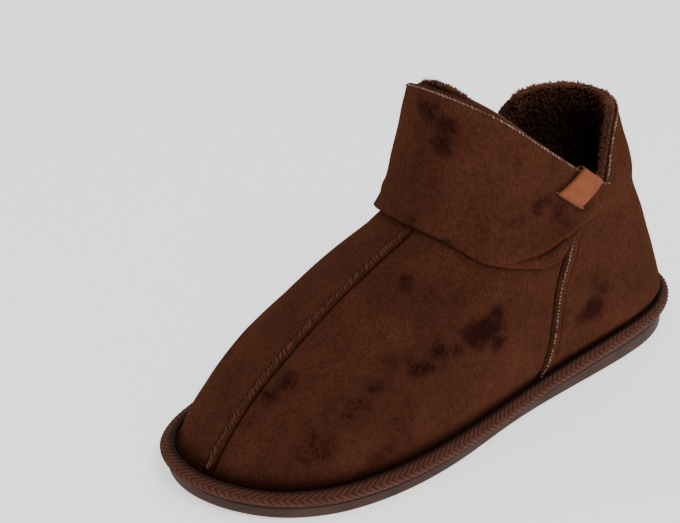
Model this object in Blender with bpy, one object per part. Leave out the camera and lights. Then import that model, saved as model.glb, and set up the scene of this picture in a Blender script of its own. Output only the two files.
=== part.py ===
"""Bootie slipper, left shoe: outsole, platform with its rolled rand, insole, upper, cuff and tag.

The shoe stands on its outsole at z = 0, with the toe at +X and its outer side at +Y. The upper is a
stack of level outlines over the last. Near the sole they have the sole's own outline, and up the
shaft they turn into ovals. Every other piece takes its place from that one surface.
"""

import math

import bmesh
import bpy
import numpy as np

# Sole sizes, in metres.
LENGTH = 0.285
BALL_WIDTH = 0.107
HEEL_THICKNESS = 0.0090
WAIST_THICKNESS = 0.0053
FOREFOOT_THICKNESS = 0.0060
ARCH_LIFT = 0.0008
TOE_SPRING = 0.0025
SOLE_EDGE = 0.0010
GROOVE_DEPTH = 0.0012
GROOVE_WIDTH = 0.0030
GROOVE_PITCH = 0.0110
GROOVE_MARGIN = 0.0120

# Platform sizes: the board under the foot and the tape that bulges round its edge.
BOARD_THICKNESS = 0.0030
RAND_HEEL_HEIGHT = 0.0083
RAND_TOE_HEIGHT = 0.0056
RAND_BULGE = 0.0034
LIP_THICKNESS = 0.0020

# Upper sizes. The rises are measured from the top of the board at the heel.
WALL = 0.0030
UPPER_INSET = 0.0028
ANKLE_WIDTH = 0.0880
FRONT_RISE = 0.1433
REAR_RISE = 0.1113
NOTCH_RISE = 0.0868
FRONT_SLANT = 0.070
REAR_SLANT = 0.115
SEAM_WIDTH = 0.0036
SEAM_RAISE = 0.0009
SEAM_EDGE = 0.0006
SEAM_FADE = 0.0030
TOE_SEAM_DRIFT = 0.0052
TOE_SEAM_RISE = 0.0320

INSOLE_THICKNESS = 0.0050
INSOLE_BEVEL = 0.0010

# Cuff sizes. Its lower edge is rolled, and its padding thins out to the top edge.
CUFF_THICKNESS = 0.0038
CUFF_HEM_THICKNESS = 0.0026
CUFF_TOP_THICKNESS = 0.0016
CUFF_ROLL = 0.0060
CUFF_HEM_SHARE = 0.14
CUFF_PLUMP_SHARE = 0.35
CUFF_THIN_POWER = 1.5

# Tag sizes. TAG_TURN turns its hanging leaf forward, and TAG_LIFT raises the front end of its fold.
TAG_WIDTH = 0.0162
TAG_LENGTH = 0.0178
TAG_THICKNESS = 0.0010
TAG_RETURN = 0.0080
TAG_PLACE = 0.310
TAG_TURN = math.radians(32.0)
TAG_LIFT = 0.0012
TAG_GAP = 0.0008
TAG_EASE = 0.0003

GAP = 0.0003
SKIN_GAP = 0.0007
INSOLE_GAP = 0.0012
LIP_GAP = 0.0006

# Outline of the outsole: share of LENGTH from the heel, share of BALL_WIDTH to the outer side.
OUTLINE = (
    # along, out
    (0.000, 0.000),
    (0.055, 0.214),
    (0.170, 0.319),
    (0.400, 0.384),
    (0.660, 0.501),
    (0.840, 0.474),
    (0.950, 0.312),
    (1.000, -0.009),
    (0.966, -0.271),
    (0.870, -0.440),
    (0.690, -0.495),
    (0.430, -0.342),
    (0.170, -0.309),
    (0.055, -0.204),
)

# Underside and thickness of the outsole along its length: share of ARCH_LIFT and of TOE_SPRING, and
# how far the thickness is the heel's or the forefoot's rather than the waist's.
SOLE_PROFILE = (
    # along, arch, spring, heel, forefoot
    (0.00, 0.0, 0.00, 1.00, 0.0),
    (0.13, 0.0, 0.00, 1.00, 0.0),
    (0.26, 0.0, 0.00, 0.68, 0.0),
    (0.34, 0.0, 0.00, 0.34, 0.0),
    (0.50, 1.0, 0.00, 0.00, 0.0),
    (0.64, 0.0, 0.00, 0.00, 0.6),
    (0.84, 0.0, 0.00, 0.00, 1.0),
    (0.92, 0.0, 0.30, 0.00, 1.0),
    (1.00, 0.0, 1.00, 0.00, 1.0),
)

# Level outlines of the upper. rise: share of FRONT_RISE above the board. heel, toe: share of LENGTH.
# half: half width of the oval, share of ANKLE_WIDTH. oval: how far the level has turned from the
# sole's outline into the oval. power: squareness of the oval. twist: sideways swing along the level.
LEVELS = (
    # rise, heel, toe, half, oval, power, twist
    (-0.060, 0.0090, 0.9960, 0.490, 0.00, 2.8, 0.000),
    (0.000, 0.0105, 0.9900, 0.510, 0.04, 3.0, 0.000),
    (0.030, 0.0135, 0.9760, 0.540, 0.12, 3.2, 0.000),
    (0.063, 0.0200, 0.9580, 0.570, 0.26, 3.7, 0.000),
    (0.131, 0.0370, 0.9190, 0.572, 0.38, 3.5, 0.000),
    (0.215, 0.0530, 0.8650, 0.550, 0.47, 3.1, 0.000),
    (0.300, 0.0670, 0.8020, 0.515, 0.62, 2.6, 0.000),
    (0.393, 0.0820, 0.7230, 0.485, 0.82, 2.3, 0.000),
    (0.476, 0.0940, 0.6400, 0.452, 0.95, 2.1, 0.010),
    (0.554, 0.1050, 0.5620, 0.443, 1.00, 2.2, 0.018),
    (0.605, 0.1150, 0.5480, 0.443, 1.00, 2.2, 0.018),
    (0.684, 0.1330, 0.5450, 0.439, 1.00, 2.2, 0.020),
    (0.822, 0.1540, 0.5330, 0.425, 1.00, 2.2, 0.045),
    (1.000, 0.1760, 0.5210, 0.415, 1.00, 2.2, 0.075),
    (1.150, 0.1900, 0.5110, 0.410, 1.00, 2.2, 0.080),
)

# Top edge of the upper between its lowest point at the notch and the front: share of the way
# forward, share of the climb.
COLLAR_FRONT = (
    # along, climb
    (0.00, 0.00),
    (0.06, 0.03),
    (0.27, 0.215),
    (0.54, 0.50),
    (0.81, 0.81),
    (1.00, 1.00),
)

# Top edge between the notch and the back of the heel: share of the way back, share of the climb.
COLLAR_REAR = (
    # along, climb
    (0.00, 0.00),
    (0.04, 0.10),
    (0.15, 0.47),
    (0.38, 0.81),
    (0.70, 0.95),
    (1.00, 1.00),
)
NOTCH_PLACE = 0.260
COLLAR_HEEL = 0.140
COLLAR_TOE = 0.530

# Side seam between the vamp and the heel quarter: share of NOTCH_RISE, share of LENGTH.
SIDE_SEAM = (
    # rise, along
    (-0.10, 0.412),
    (0.10, 0.395),
    (0.24, 0.388),
    (0.52, 0.377),
    (0.70, 0.351),
    (0.84, 0.324),
    (1.00, 0.268),
)

# Lower edge of the cuff: share of LENGTH, share of FRONT_RISE.
CUFF_EDGE = (
    # along, rise
    (0.2250, 0.575),
    (0.2700, 0.530),
    (0.3350, 0.502),
    (0.3620, 0.460),
    (0.3850, 0.424),
    (0.4150, 0.421),
    (0.4450, 0.432),
    (0.4900, 0.451),
    (0.5300, 0.476),
    (0.5600, 0.511),
    (0.5850, 0.557),
)
CUFF_END = 0.2400
CUFF_END_DROP = 0.0060

# Section of the rand: share of RAND_BULGE outward and share of its height. Its shoulder lies halfway
# between a last such point and the outer face of the lip.
RAND_SECTION = (
    # outward, rise
    (0.45, 0.09),
    (0.90, 0.30),
    (1.00, 0.52),
    (0.78, 0.72),
)
SHOULDER_OUTWARD = 0.30
SHOULDER_RISE = 0.91

# Section of the lip against the upper: share of LIP_THICKNESS, share of the rand's height.
LIP_SECTION = (
    # away, rise
    (0.6, 0.99),
    (0.0, 0.93),
)

# Rows of the upper's faces: share of the way from its bottom edge to its top edge. The rows over the
# top edge are shares of WALL inward.
OUTER_ROWS = (0.0, 0.03, 0.07, 0.12, 0.17, 0.23, 0.29, 0.35, 0.41, 0.46, 0.50, 0.535,
              0.565, 0.595, 0.63, 0.67, 0.73, 0.80, 0.88, 0.95, 0.99)
TOP_EDGE_ROWS = (0.3, 0.7)
INNER_ROWS = (0.0, 0.035, 0.08, 0.18, 0.29, 0.40, 0.49, 0.56, 0.63, 0.74, 0.87, 0.99)

# Rows of the cuff from its lower edge up its outer face, then down its inner face.
CUFF_OUTER_ROWS = (0.0, 0.04, 0.10, 0.20, 0.35, 0.55, 0.75, 0.90, 1.0)
CUFF_INNER_ROWS = (1.0, 0.8, 0.6, 0.45, 0.3, 0.18, 0.08, 0.0)

# Rows of the tag's hanging leaf from its free end up, and of its return down the inside.
TAG_LEAF_ROWS = (1.0, 0.75, 0.5, 0.25, 0.0)
TAG_RETURN_ROWS = (0.5, 1.0)

# Heights between which a lower and an upper edge are looked for, in shares of FRONT_RISE.
BOTTOM_SEARCH = (-0.085, 0.60)
TOP_SEARCH = (0.25, 1.12)

QUARTER_COLUMNS = 9
VAMP_COLUMNS = 17
SOLE_COLUMNS = 28
RAND_COLUMNS = 38
CUFF_COLUMNS = 19
TAG_COLUMNS = 4
DENSE = 720

SUEDE = (0.060, 0.018, 0.008, 1.0)
FLEECE = (0.045, 0.014, 0.007, 1.0)
TAPE = (0.075, 0.024, 0.010, 1.0)
RUBBER = (0.075, 0.045, 0.035, 1.0)
LEATHER = (0.480, 0.170, 0.060, 1.0)


# Curves

def monotone(table, column):
    """A smooth curve through a table's first and given columns that never overshoots its rows."""
    x = np.array([row[0] for row in table], float)
    y = np.array([row[column] for row in table], float)
    step = np.diff(x)
    slope = np.diff(y) / step
    tangent = np.zeros(len(x))
    tangent[0] = slope[0]
    tangent[-1] = slope[-1]
    for i in range(1, len(x) - 1):
        before, after = slope[i - 1], slope[i]
        if before * after > 0.0:
            w1 = 2.0 * step[i] + step[i - 1]
            w2 = step[i] + 2.0 * step[i - 1]
            tangent[i] = (w1 + w2) / (w1 / before + w2 / after)

    def curve(at):
        at = np.clip(np.asarray(at, float), x[0], x[-1])
        i = np.clip(np.searchsorted(x, at, side="right") - 1, 0, len(step) - 1)
        t = (at - x[i]) / step[i]
        return (y[i] * (1 + 2 * t) * (1 - t) ** 2 + tangent[i] * step[i] * t * (1 - t) ** 2
                + y[i + 1] * t * t * (3 - 2 * t) + tangent[i + 1] * step[i] * t * t * (t - 1))

    return curve


def closed_spline(points, count):
    """Points at even steps along a closed cubic spline through the given points."""
    p = np.array(points, float)
    n = len(p)
    gap = np.linalg.norm((np.roll(p, -1, axis=0) - p) * (LENGTH, BALL_WIDTH), axis=1)
    knots = np.concatenate([[0.0], np.cumsum(gap)])
    system = np.zeros((n, n))
    right = np.zeros((n, 2))
    for i in range(n):
        before, after = gap[i - 1], gap[i]
        system[i, i - 1] += before
        system[i, i] += 2.0 * (before + after)
        system[i, (i + 1) % n] += after
        right[i] = 6.0 * ((p[(i + 1) % n] - p[i]) / after - (p[i] - p[i - 1]) / before)
    bend = np.linalg.solve(system, right)
    at = np.linspace(0.0, knots[-1], count, endpoint=False)
    i = np.clip(np.searchsorted(knots, at, side="right") - 1, 0, n - 1)
    j = (i + 1) % n
    h = gap[i][:, None]
    b = (at - knots[i])[:, None]
    a = h - b
    return ((bend[i] * a ** 3 + bend[j] * b ** 3) / (6 * h)
            + (p[i] / h - bend[i] * h / 6) * a + (p[j] / h - bend[j] * h / 6) * b)


# The sole's outline as along(u) and out(u), with u from 0 at the heel round the outer side to the toe
# at u = 1, and back along the inner side to the heel at u = 2.

def split_outline():
    ring = closed_spline(OUTLINE, 4 * DENSE)
    ring = np.roll(ring, -int(np.argmin(ring[:, 0])), axis=0)
    ring = np.vstack([ring, ring[:1]])
    low, high = ring[:, 0].min(), ring[:, 0].max()
    ring[:, 0] = (ring[:, 0] - low) / (high - low)
    toe = int(np.argmax(ring[:, 0]))
    halves = []
    for half, start in ((ring[:toe + 1], 0.0), (ring[toe:], 1.0)):
        length = np.linalg.norm(np.diff(half * (LENGTH, BALL_WIDTH), axis=0), axis=1)
        run = np.concatenate([[0.0], np.cumsum(length)])
        halves.append((start + run / run[-1], half))
    u = np.concatenate([halves[0][0], halves[1][0][1:]])
    points = np.vstack([halves[0][1], halves[1][1][1:]])
    return u, points


OUTLINE_U, OUTLINE_POINTS = split_outline()
DENSE_U = np.linspace(0.0, 2.0, 2 * DENSE + 1)

# The shoe's origin is under the middle of its length and width.
MIDDLE = (0.5 * LENGTH, 0.5 * (OUTLINE_POINTS[:, 1].max() + OUTLINE_POINTS[:, 1].min()) * BALL_WIDTH)


def along(u):
    return np.interp(np.mod(u, 2.0), OUTLINE_U, OUTLINE_POINTS[:, 0])


def out(u):
    return np.interp(np.mod(u, 2.0), OUTLINE_U, OUTLINE_POINTS[:, 1])


def u_at(share, side):
    """The outline's u where its share of the length is the given one, on side 1 (outer) or -1."""
    toe = int(np.argmax(OUTLINE_POINTS[:, 0]))
    if side > 0:
        return np.interp(share, OUTLINE_POINTS[:toe + 1, 0], OUTLINE_U[:toe + 1])
    return np.interp(share, OUTLINE_POINTS[toe:, 0][::-1], OUTLINE_U[toe:][::-1])


def sole_point(u, outward):
    """The outsole's outline in plan, moved outward by a distance square to it."""
    u = np.asarray(u, float)
    step = 1e-3
    here = np.stack([along(u) * LENGTH, out(u) * BALL_WIDTH], axis=-1)
    ahead = np.stack([along(u + step) * LENGTH, out(u + step) * BALL_WIDTH], axis=-1)
    behind = np.stack([along(u - step) * LENGTH, out(u - step) * BALL_WIDTH], axis=-1)
    tangent = ahead - behind
    tangent /= np.linalg.norm(tangent, axis=-1, keepdims=True)
    normal = np.stack([-tangent[..., 1], tangent[..., 0]], axis=-1)
    return here + normal * np.asarray(outward)[..., None]


# Heights

ARCH = monotone(SOLE_PROFILE, 1)
SPRING = monotone(SOLE_PROFILE, 2)
HEEL_PART = monotone(SOLE_PROFILE, 3)
FOREFOOT_PART = monotone(SOLE_PROFILE, 4)


def ground(x):
    """Underside of the outsole."""
    share = x / LENGTH
    return ARCH(share) * ARCH_LIFT + SPRING(share) * TOE_SPRING


def sole_top(x):
    share = x / LENGTH
    return (WAIST_THICKNESS
            + HEEL_PART(share) * (HEEL_THICKNESS - WAIST_THICKNESS)
            + FOREFOOT_PART(share) * (FOREFOOT_THICKNESS - WAIST_THICKNESS)
            + SPRING(share) * TOE_SPRING)


def platform_bottom(x):
    return sole_top(x) + GAP


def board_top(x):
    return platform_bottom(x) + BOARD_THICKNESS


def rand_height(x):
    share = np.clip(x / LENGTH, 0.0, 1.0)
    return RAND_HEEL_HEIGHT + (RAND_TOE_HEIGHT - RAND_HEEL_HEIGHT) * share


def lip_top(x):
    return platform_bottom(x) + rand_height(x)


DATUM = HEEL_THICKNESS + GAP + BOARD_THICKNESS


# The upper's surface

LEVEL_HEEL = monotone(LEVELS, 1)
LEVEL_TOE = monotone(LEVELS, 2)
LEVEL_HALF = monotone(LEVELS, 3)
LEVEL_OVAL = monotone(LEVELS, 4)
LEVEL_POWER = monotone(LEVELS, 5)
LEVEL_TWIST = monotone(LEVELS, 6)


def level_point(u, z):
    """A point of the upper's outer surface on line u at height z."""
    u = np.asarray(u, float)
    rise = (np.asarray(z, float) - DATUM) / FRONT_RISE
    heel = LEVEL_HEEL(rise) * LENGTH
    toe = LEVEL_TOE(rise) * LENGTH
    share = along(u)
    x = heel + (toe - heel) * share
    power = LEVEL_POWER(rise)
    round_part = np.clip(1.0 - np.abs(2.0 * share - 1.0) ** power, 0.0, 1.0) ** (1.0 / power)
    side = np.where(np.mod(u, 2.0) <= 1.0, 1.0, -1.0)
    oval = LEVEL_OVAL(rise)
    y = (1.0 - oval) * out(u) * (BALL_WIDTH - 2.0 * UPPER_INSET)
    y = y + oval * side * LEVEL_HALF(rise) * ANKLE_WIDTH * round_part
    y = y + LEVEL_TWIST(rise) * (x - 0.5 * (heel + toe))
    return np.stack([x, y, np.broadcast_to(z, x.shape)], axis=-1)


def skin(u, z, offset):
    """A point of the surface on line u at height z, moved along the outward normal."""
    u, z, offset = np.broadcast_arrays(np.asarray(u, float), np.asarray(z, float),
                                       np.asarray(offset, float))
    du, dz = 2e-3, 4e-4
    across = level_point(u + du, z) - level_point(u - du, z)
    upward = level_point(u, z + dz) - level_point(u, z - dz)
    normal = np.cross(upward, across)
    normal /= np.linalg.norm(normal, axis=-1, keepdims=True)
    return level_point(u, z) + normal * offset[..., None]


def meet(u, height, offset, search):
    """Height parameter where the offset skin's own height equals height(x, y), by halving."""
    low = np.full(np.shape(u), DATUM + search[0] * FRONT_RISE, float)
    high = np.full(np.shape(u), DATUM + search[1] * FRONT_RISE, float)
    for _ in range(40):
        middle = 0.5 * (low + high)
        point = skin(u, middle, offset)
        above = point[..., 2] > height(point[..., 0], point[..., 1])
        high = np.where(above, middle, high)
        low = np.where(above, low, middle)
    return 0.5 * (low + high)


FRONT_CLIMB = monotone(COLLAR_FRONT, 1)
REAR_CLIMB = monotone(COLLAR_REAR, 1)


def collar(x, y):
    """Height of the upper's top edge over the place (x, y): lowest at the notch on each side."""
    notch = NOTCH_PLACE * LENGTH
    ahead = (x - notch) / ((COLLAR_TOE - NOTCH_PLACE) * LENGTH)
    back = (notch - x) / ((NOTCH_PLACE - COLLAR_HEEL) * LENGTH)
    climb = np.where(x >= notch, FRONT_CLIMB(ahead), REAR_CLIMB(back))
    peak = np.where(x >= notch, FRONT_RISE + FRONT_SLANT * y, REAR_RISE + REAR_SLANT * y)
    return DATUM + NOTCH_RISE + climb * (peak - NOTCH_RISE)


CUFF_RISE = monotone(CUFF_EDGE, 1)


def cuff_bottom(x, y):
    return DATUM + FRONT_RISE * CUFF_RISE(x / LENGTH)


def cuff_top(x, y):
    """The cuff ends at the collar in front of the notch and steps down just behind it."""
    notch = NOTCH_PLACE * LENGTH
    behind = np.clip((notch - x) / ((NOTCH_PLACE - CUFF_END) * LENGTH), 0.0, 1.0)
    return np.where(x >= notch, collar(x, y), DATUM + NOTCH_RISE - CUFF_END_DROP * behind)


SEAM_PLACE = monotone(SIDE_SEAM, 1)


def seam_x(z):
    return SEAM_PLACE((z - DATUM) / NOTCH_RISE) * LENGTH


def seam_drift(rise):
    """How far the centre seam bends to the outer side as it comes down over the toe."""
    return TOE_SEAM_DRIFT * np.clip(1.0 - rise / TOE_SEAM_RISE, 0.0, 1.0) ** 2


# Meshes

def new_collection(name):
    collection = bpy.data.collections.new(name)
    bpy.context.scene.collection.children.link(collection)
    return collection


def new_material(name, colour, roughness):
    material = bpy.data.materials.new(name)
    material.use_nodes = True
    shader = material.node_tree.nodes["Principled BSDF"]
    shader.inputs["Base Color"].default_value = colour
    shader.inputs["Roughness"].default_value = roughness
    shader.inputs["Metallic"].default_value = 0.0
    material.diffuse_color = colour
    return material


def new_piece(name, points, faces, material, collection):
    mesh = bpy.data.meshes.new(name)
    mesh.from_pydata([tuple(p) for p in points], [], faces)
    piece = bpy.data.objects.new(name, mesh)
    piece.location = (-MIDDLE[0], -MIDDLE[1], 0.0)
    collection.objects.link(piece)
    tidy = bmesh.new()
    tidy.from_mesh(mesh)
    bmesh.ops.recalc_face_normals(tidy, faces=tidy.faces)
    tidy.to_mesh(mesh)
    tidy.free()
    mesh.materials.append(material)
    mesh.shade_smooth()
    mesh.set_sharp_from_angle(angle=math.radians(40.0))
    return piece


def bridge(first, second, count, closed):
    """Quads between two rows of points that start at the given numbers."""
    last = count if closed else count - 1
    return [(first + i, first + (i + 1) % count, second + (i + 1) % count, second + i)
            for i in range(last)]


def cap(start, half):
    """Faces across a ring of 2 * half points, between points at the same place along the shoe."""
    faces = [(start, start + 1, start + 2 * half - 1)]
    for i in range(1, half - 1):
        faces.append((start + i, start + i + 1, start + 2 * half - i - 1, start + 2 * half - i))
    faces.append((start + half - 1, start + half, start + half + 1))
    return faces


def disc_solid(name, rings, material, collection):
    """A solid between a bottom ring and a top ring, both closed across the shoe."""
    count = len(rings[0])
    faces = cap(0, count // 2)
    for i in range(len(rings) - 1):
        faces += bridge(i * count, (i + 1) * count, count, True)
    faces += cap((len(rings) - 1) * count, count // 2)
    return new_piece(name, np.vstack(rings), faces, material, collection)


def hollow_solid(name, rings, material, collection):
    """A solid whose rings run up its outside and down its inside, back to the first ring."""
    count = len(rings[0])
    faces = []
    for i in range(len(rings)):
        faces += bridge(i * count, ((i + 1) % len(rings)) * count, count, True)
    return new_piece(name, np.vstack(rings), faces, material, collection)


def strip_solid(name, sections, material, collection):
    """A solid through closed sections, with its first and last section capped."""
    count = len(sections[0])
    faces = [tuple(range(count))]
    for i in range(len(sections) - 1):
        faces += bridge(i * count, (i + 1) * count, count, True)
    faces.append(tuple(range((len(sections) - 1) * count, len(sections) * count)))
    return new_piece(name, np.vstack(sections), faces, material, collection)


# Sole pieces. Their columns pair the outer and the inner side at the same place along the shoe.

def paired_columns(columns):
    share = 0.5 - 0.5 * np.cos(np.linspace(0.0, math.pi, columns + 1))
    outer = u_at(share, 1)
    inner = u_at(share[1:-1][::-1], -1)
    return np.concatenate([outer, inner])


def plan_ring(u, outward, height, lift=0.0):
    """A ring of the sole's outline at a height that follows x."""
    plan = sole_point(u, np.full(np.shape(u), outward))
    z = height(plan[:, 0]) + lift
    return np.column_stack([plan, z])


def upper_ring(u, height, offset):
    """A ring of the upper's skin at a height that follows x."""
    return skin(u, meet(u, height, offset, BOTTOM_SEARCH), offset)


def make_outsole(material, collection, cutters):
    u = paired_columns(SOLE_COLUMNS)
    rings = [plan_ring(u, -SOLE_EDGE, ground),
             plan_ring(u, 0.0, ground, SOLE_EDGE),
             plan_ring(u, 0.0, sole_top)]
    outsole = disc_solid("outsole", rings, material, collection)
    tread = make_tread(cutters)
    cut = outsole.modifiers.new("tread", "BOOLEAN")
    cut.operation = "DIFFERENCE"
    cut.solver = "EXACT"
    cut.object = tread
    return outsole


def make_tread(cutters):
    """Bars that cut straight grooves across the flat heel and forefoot, inside a plain margin."""
    shape = bmesh.new()
    count = int((LENGTH - 2.0 * GROOVE_MARGIN) // GROOVE_PITCH)
    start = 0.5 * (LENGTH - (count - 1) * GROOVE_PITCH)
    for i in range(count):
        x = start + i * GROOVE_PITCH
        outer = out(u_at(x / LENGTH, 1)) * BALL_WIDTH - GROOVE_MARGIN
        inner = out(u_at(x / LENGTH, -1)) * BALL_WIDTH + GROOVE_MARGIN
        if outer - inner < GROOVE_PITCH:
            continue
        lift = float(ground(x))
        bar = bmesh.ops.create_cube(shape, size=1.0)["verts"]
        size = (GROOVE_WIDTH, outer - inner, 2.0 * (GROOVE_DEPTH + lift))
        bmesh.ops.scale(shape, vec=size, verts=bar)
        bmesh.ops.translate(shape, vec=(x, 0.5 * (outer + inner), 0.0), verts=bar)
    mesh = bpy.data.meshes.new("tread_cutter")
    shape.to_mesh(mesh)
    shape.free()
    tread = bpy.data.objects.new("tread_cutter", mesh)
    tread.location = (-MIDDLE[0], -MIDDLE[1], 0.0)
    tread.hide_render = True
    tread.display_type = "WIRE"
    cutters.objects.link(tread)
    return tread


def make_platform(material, collection):
    u = paired_columns(RAND_COLUMNS)

    def side(outward, share):
        plan = sole_point(u, np.full(np.shape(u), outward))
        z = platform_bottom(plan[:, 0]) + share * rand_height(plan[:, 0])
        return np.column_stack([plan, z])

    def lip(share, offset):
        def height(x, y):
            return platform_bottom(x) + share * rand_height(x)
        return upper_ring(u, height, offset)

    def board(x, y):
        return board_top(x)

    shoulder = 0.5 * (side(SHOULDER_OUTWARD * RAND_BULGE, SHOULDER_RISE)
                      + lip(SHOULDER_RISE, LIP_GAP + LIP_THICKNESS))
    rings = [plan_ring(u, -SOLE_EDGE, platform_bottom)]
    rings += [side(outward * RAND_BULGE, rise) for outward, rise in RAND_SECTION]
    rings.append(shoulder)
    rings += [lip(rise, LIP_GAP + away * LIP_THICKNESS) for away, rise in LIP_SECTION]
    rings.append(upper_ring(u, board, LIP_GAP))
    return disc_solid("platform", rings, material, collection)


def make_insole(material, collection):
    u = paired_columns(SOLE_COLUMNS)
    inside = -WALL - INSOLE_GAP

    def bottom(x, y):
        return board_top(x) + GAP

    def top(x, y):
        return board_top(x) + GAP + INSOLE_THICKNESS

    rings = [upper_ring(u, bottom, inside), upper_ring(u, top, inside - INSOLE_BEVEL)]
    return disc_solid("insole", rings, material, collection)


# The upper

def upper_bottom(x, y):
    return board_top(x) + GAP


def band_limits(offset, bottom, top):
    """Heights of a band's lower and upper edge on the dense lines, for an offset skin."""
    low = meet(DENSE_U, bottom, offset, BOTTOM_SEARCH)
    high = meet(DENSE_U, top, offset, TOP_SEARCH)
    return low, high


def row_heights(u, limits, share):
    """Height on the lines u of the row at a share of the way up a band."""
    low = np.interp(u, DENSE_U, limits[0])
    high = np.interp(u, DENSE_U, limits[1])
    return low + (high - low) * share


def crossing(u, points, half, goal):
    """The run along a row where it passes the place goal(z) on one side of the shoe."""
    apart = points[half, 0] - goal(points[half, 2])
    order = np.argsort(apart)
    return float(np.interp(0.0, apart[order], u[half][order]))


def upper_columns(limits, share):
    """Lines u of a row, evenly spaced between the seams and close together on each of them."""
    u = DENSE_U
    points = level_point(u, row_heights(u, limits, share))
    run = np.concatenate([[0.0], np.cumsum(np.linalg.norm(np.diff(points, axis=0), axis=1))])
    outer = np.arange(0, DENSE + 1)
    inner = np.arange(DENSE, 2 * DENSE + 1)
    outer_seam = np.interp(crossing(u, points, outer, seam_x), u, run)
    inner_seam = np.interp(crossing(u, points, inner, seam_x), u, run)
    toe = np.interp(1.0, u, run) - seam_drift(np.interp(1.0, u, points[:, 2]) - DATUM)
    half = 0.5 * SEAM_WIDTH
    edge = half + SEAM_EDGE
    band = (-edge, -half, half, edge)
    quarter = np.linspace(0.0, outer_seam - edge, QUARTER_COLUMNS + 1)[:-1]
    outer_vamp = np.linspace(outer_seam + edge, toe - edge, VAMP_COLUMNS + 1)[1:-1]
    inner_vamp = np.linspace(toe + edge, inner_seam - edge, VAMP_COLUMNS + 1)[1:-1]
    back = np.linspace(inner_seam + edge, run[-1], QUARTER_COLUMNS + 1)[1:-1]
    marks = np.concatenate([quarter,
                            outer_seam + np.array(band),
                            outer_vamp,
                            toe + np.array(band),
                            inner_vamp,
                            inner_seam + np.array(band),
                            back])
    return np.interp(marks, run, u)


def seam_raise():
    """Height of the raised seams on each column."""
    band = [0.0, 1.0, 1.0, 0.0]
    quarter = [0.0] * QUARTER_COLUMNS
    vamp = [0.0] * (VAMP_COLUMNS - 1)
    back = [0.0] * (QUARTER_COLUMNS - 1)
    return np.array(quarter + band + vamp + band + vamp + band + back) * SEAM_RAISE


def make_upper(material, collection):
    raised = seam_raise()
    outside = band_limits(0.0, upper_bottom, collar)
    inside = band_limits(-WALL, upper_bottom, collar)
    rings = []
    for share in OUTER_ROWS:
        u = upper_columns(outside, share)
        z = row_heights(u, outside, share)
        flat = level_point(u, z)
        below_cuff = np.clip((cuff_bottom(flat[:, 0], flat[:, 1]) - z) / CUFF_ROLL, 0.0, 1.0)
        above_lip = np.clip((z - lip_top(flat[:, 0])) / SEAM_FADE, 0.0, 1.0)
        rings.append(skin(u, z, raised * below_cuff * above_lip))
    u = upper_columns(outside, 1.0)
    z = row_heights(u, outside, 1.0)
    rings += [skin(u, z, -inward * WALL) for inward in TOP_EDGE_ROWS]
    for share in INNER_ROWS[::-1]:
        u = upper_columns(outside, share)
        rings.append(skin(u, row_heights(u, inside, share), -WALL))
    return hollow_solid("upper", rings, material, collection)


# The cuff

def cuff_columns(limits, share):
    u = DENSE_U
    points = level_point(u, row_heights(u, limits, share))
    run = np.concatenate([[0.0], np.cumsum(np.linalg.norm(np.diff(points, axis=0), axis=1))])

    def end(z):
        return np.full(np.shape(z), CUFF_END * LENGTH)

    outer = np.interp(crossing(u, points, np.arange(0, DENSE + 1), end), u, run)
    inner = np.interp(crossing(u, points, np.arange(DENSE, 2 * DENSE + 1), end), u, run)
    toe = np.interp(1.0, u, run)
    marks = np.concatenate([np.linspace(outer, toe, CUFF_COLUMNS + 1),
                            np.linspace(toe, inner, CUFF_COLUMNS + 1)[1:]])
    return np.interp(marks, run, u)


def cuff_offset(share):
    """Outer face of the padded cuff: a rolled lower edge and a thin top edge."""
    roll = math.sin(0.5 * math.pi * min(1.0, share / CUFF_HEM_SHARE))
    full = CUFF_HEM_THICKNESS + (CUFF_THICKNESS - CUFF_HEM_THICKNESS) * roll
    thin = max(0.0, (share - CUFF_PLUMP_SHARE) / (1.0 - CUFF_PLUMP_SHARE)) ** CUFF_THIN_POWER
    return full + (CUFF_TOP_THICKNESS - full) * thin


def make_cuff(material, collection):
    limits = band_limits(0.0, cuff_bottom, cuff_top)
    columns = []
    for share in CUFF_OUTER_ROWS:
        u = cuff_columns(limits, share)
        columns.append(skin(u, row_heights(u, limits, share), SKIN_GAP + cuff_offset(share)))
    for share in CUFF_INNER_ROWS:
        u = cuff_columns(limits, share)
        columns.append(skin(u, row_heights(u, limits, share), SKIN_GAP))
    sections = np.stack(columns, axis=1)
    return strip_solid("cuff", list(sections), material, collection)


# The tag

def cuff_face(x, z):
    """Offset of the cuff's outer face over the place (x, z)."""
    low = cuff_bottom(x, 0.0)
    high = cuff_top(x, 0.5 * ANKLE_WIDTH)
    return SKIN_GAP + cuff_offset(float(np.clip((z - low) / (high - low), 0.0, 1.0)))


def side_point(x, z, offset):
    """A point on the outer side of the shoe, given by its place in the side view."""
    rise = (z - DATUM) / FRONT_RISE
    heel = LEVEL_HEEL(rise) * LENGTH
    toe = LEVEL_TOE(rise) * LENGTH
    return skin(u_at((x - heel) / (toe - heel), 1), z, offset)


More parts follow.
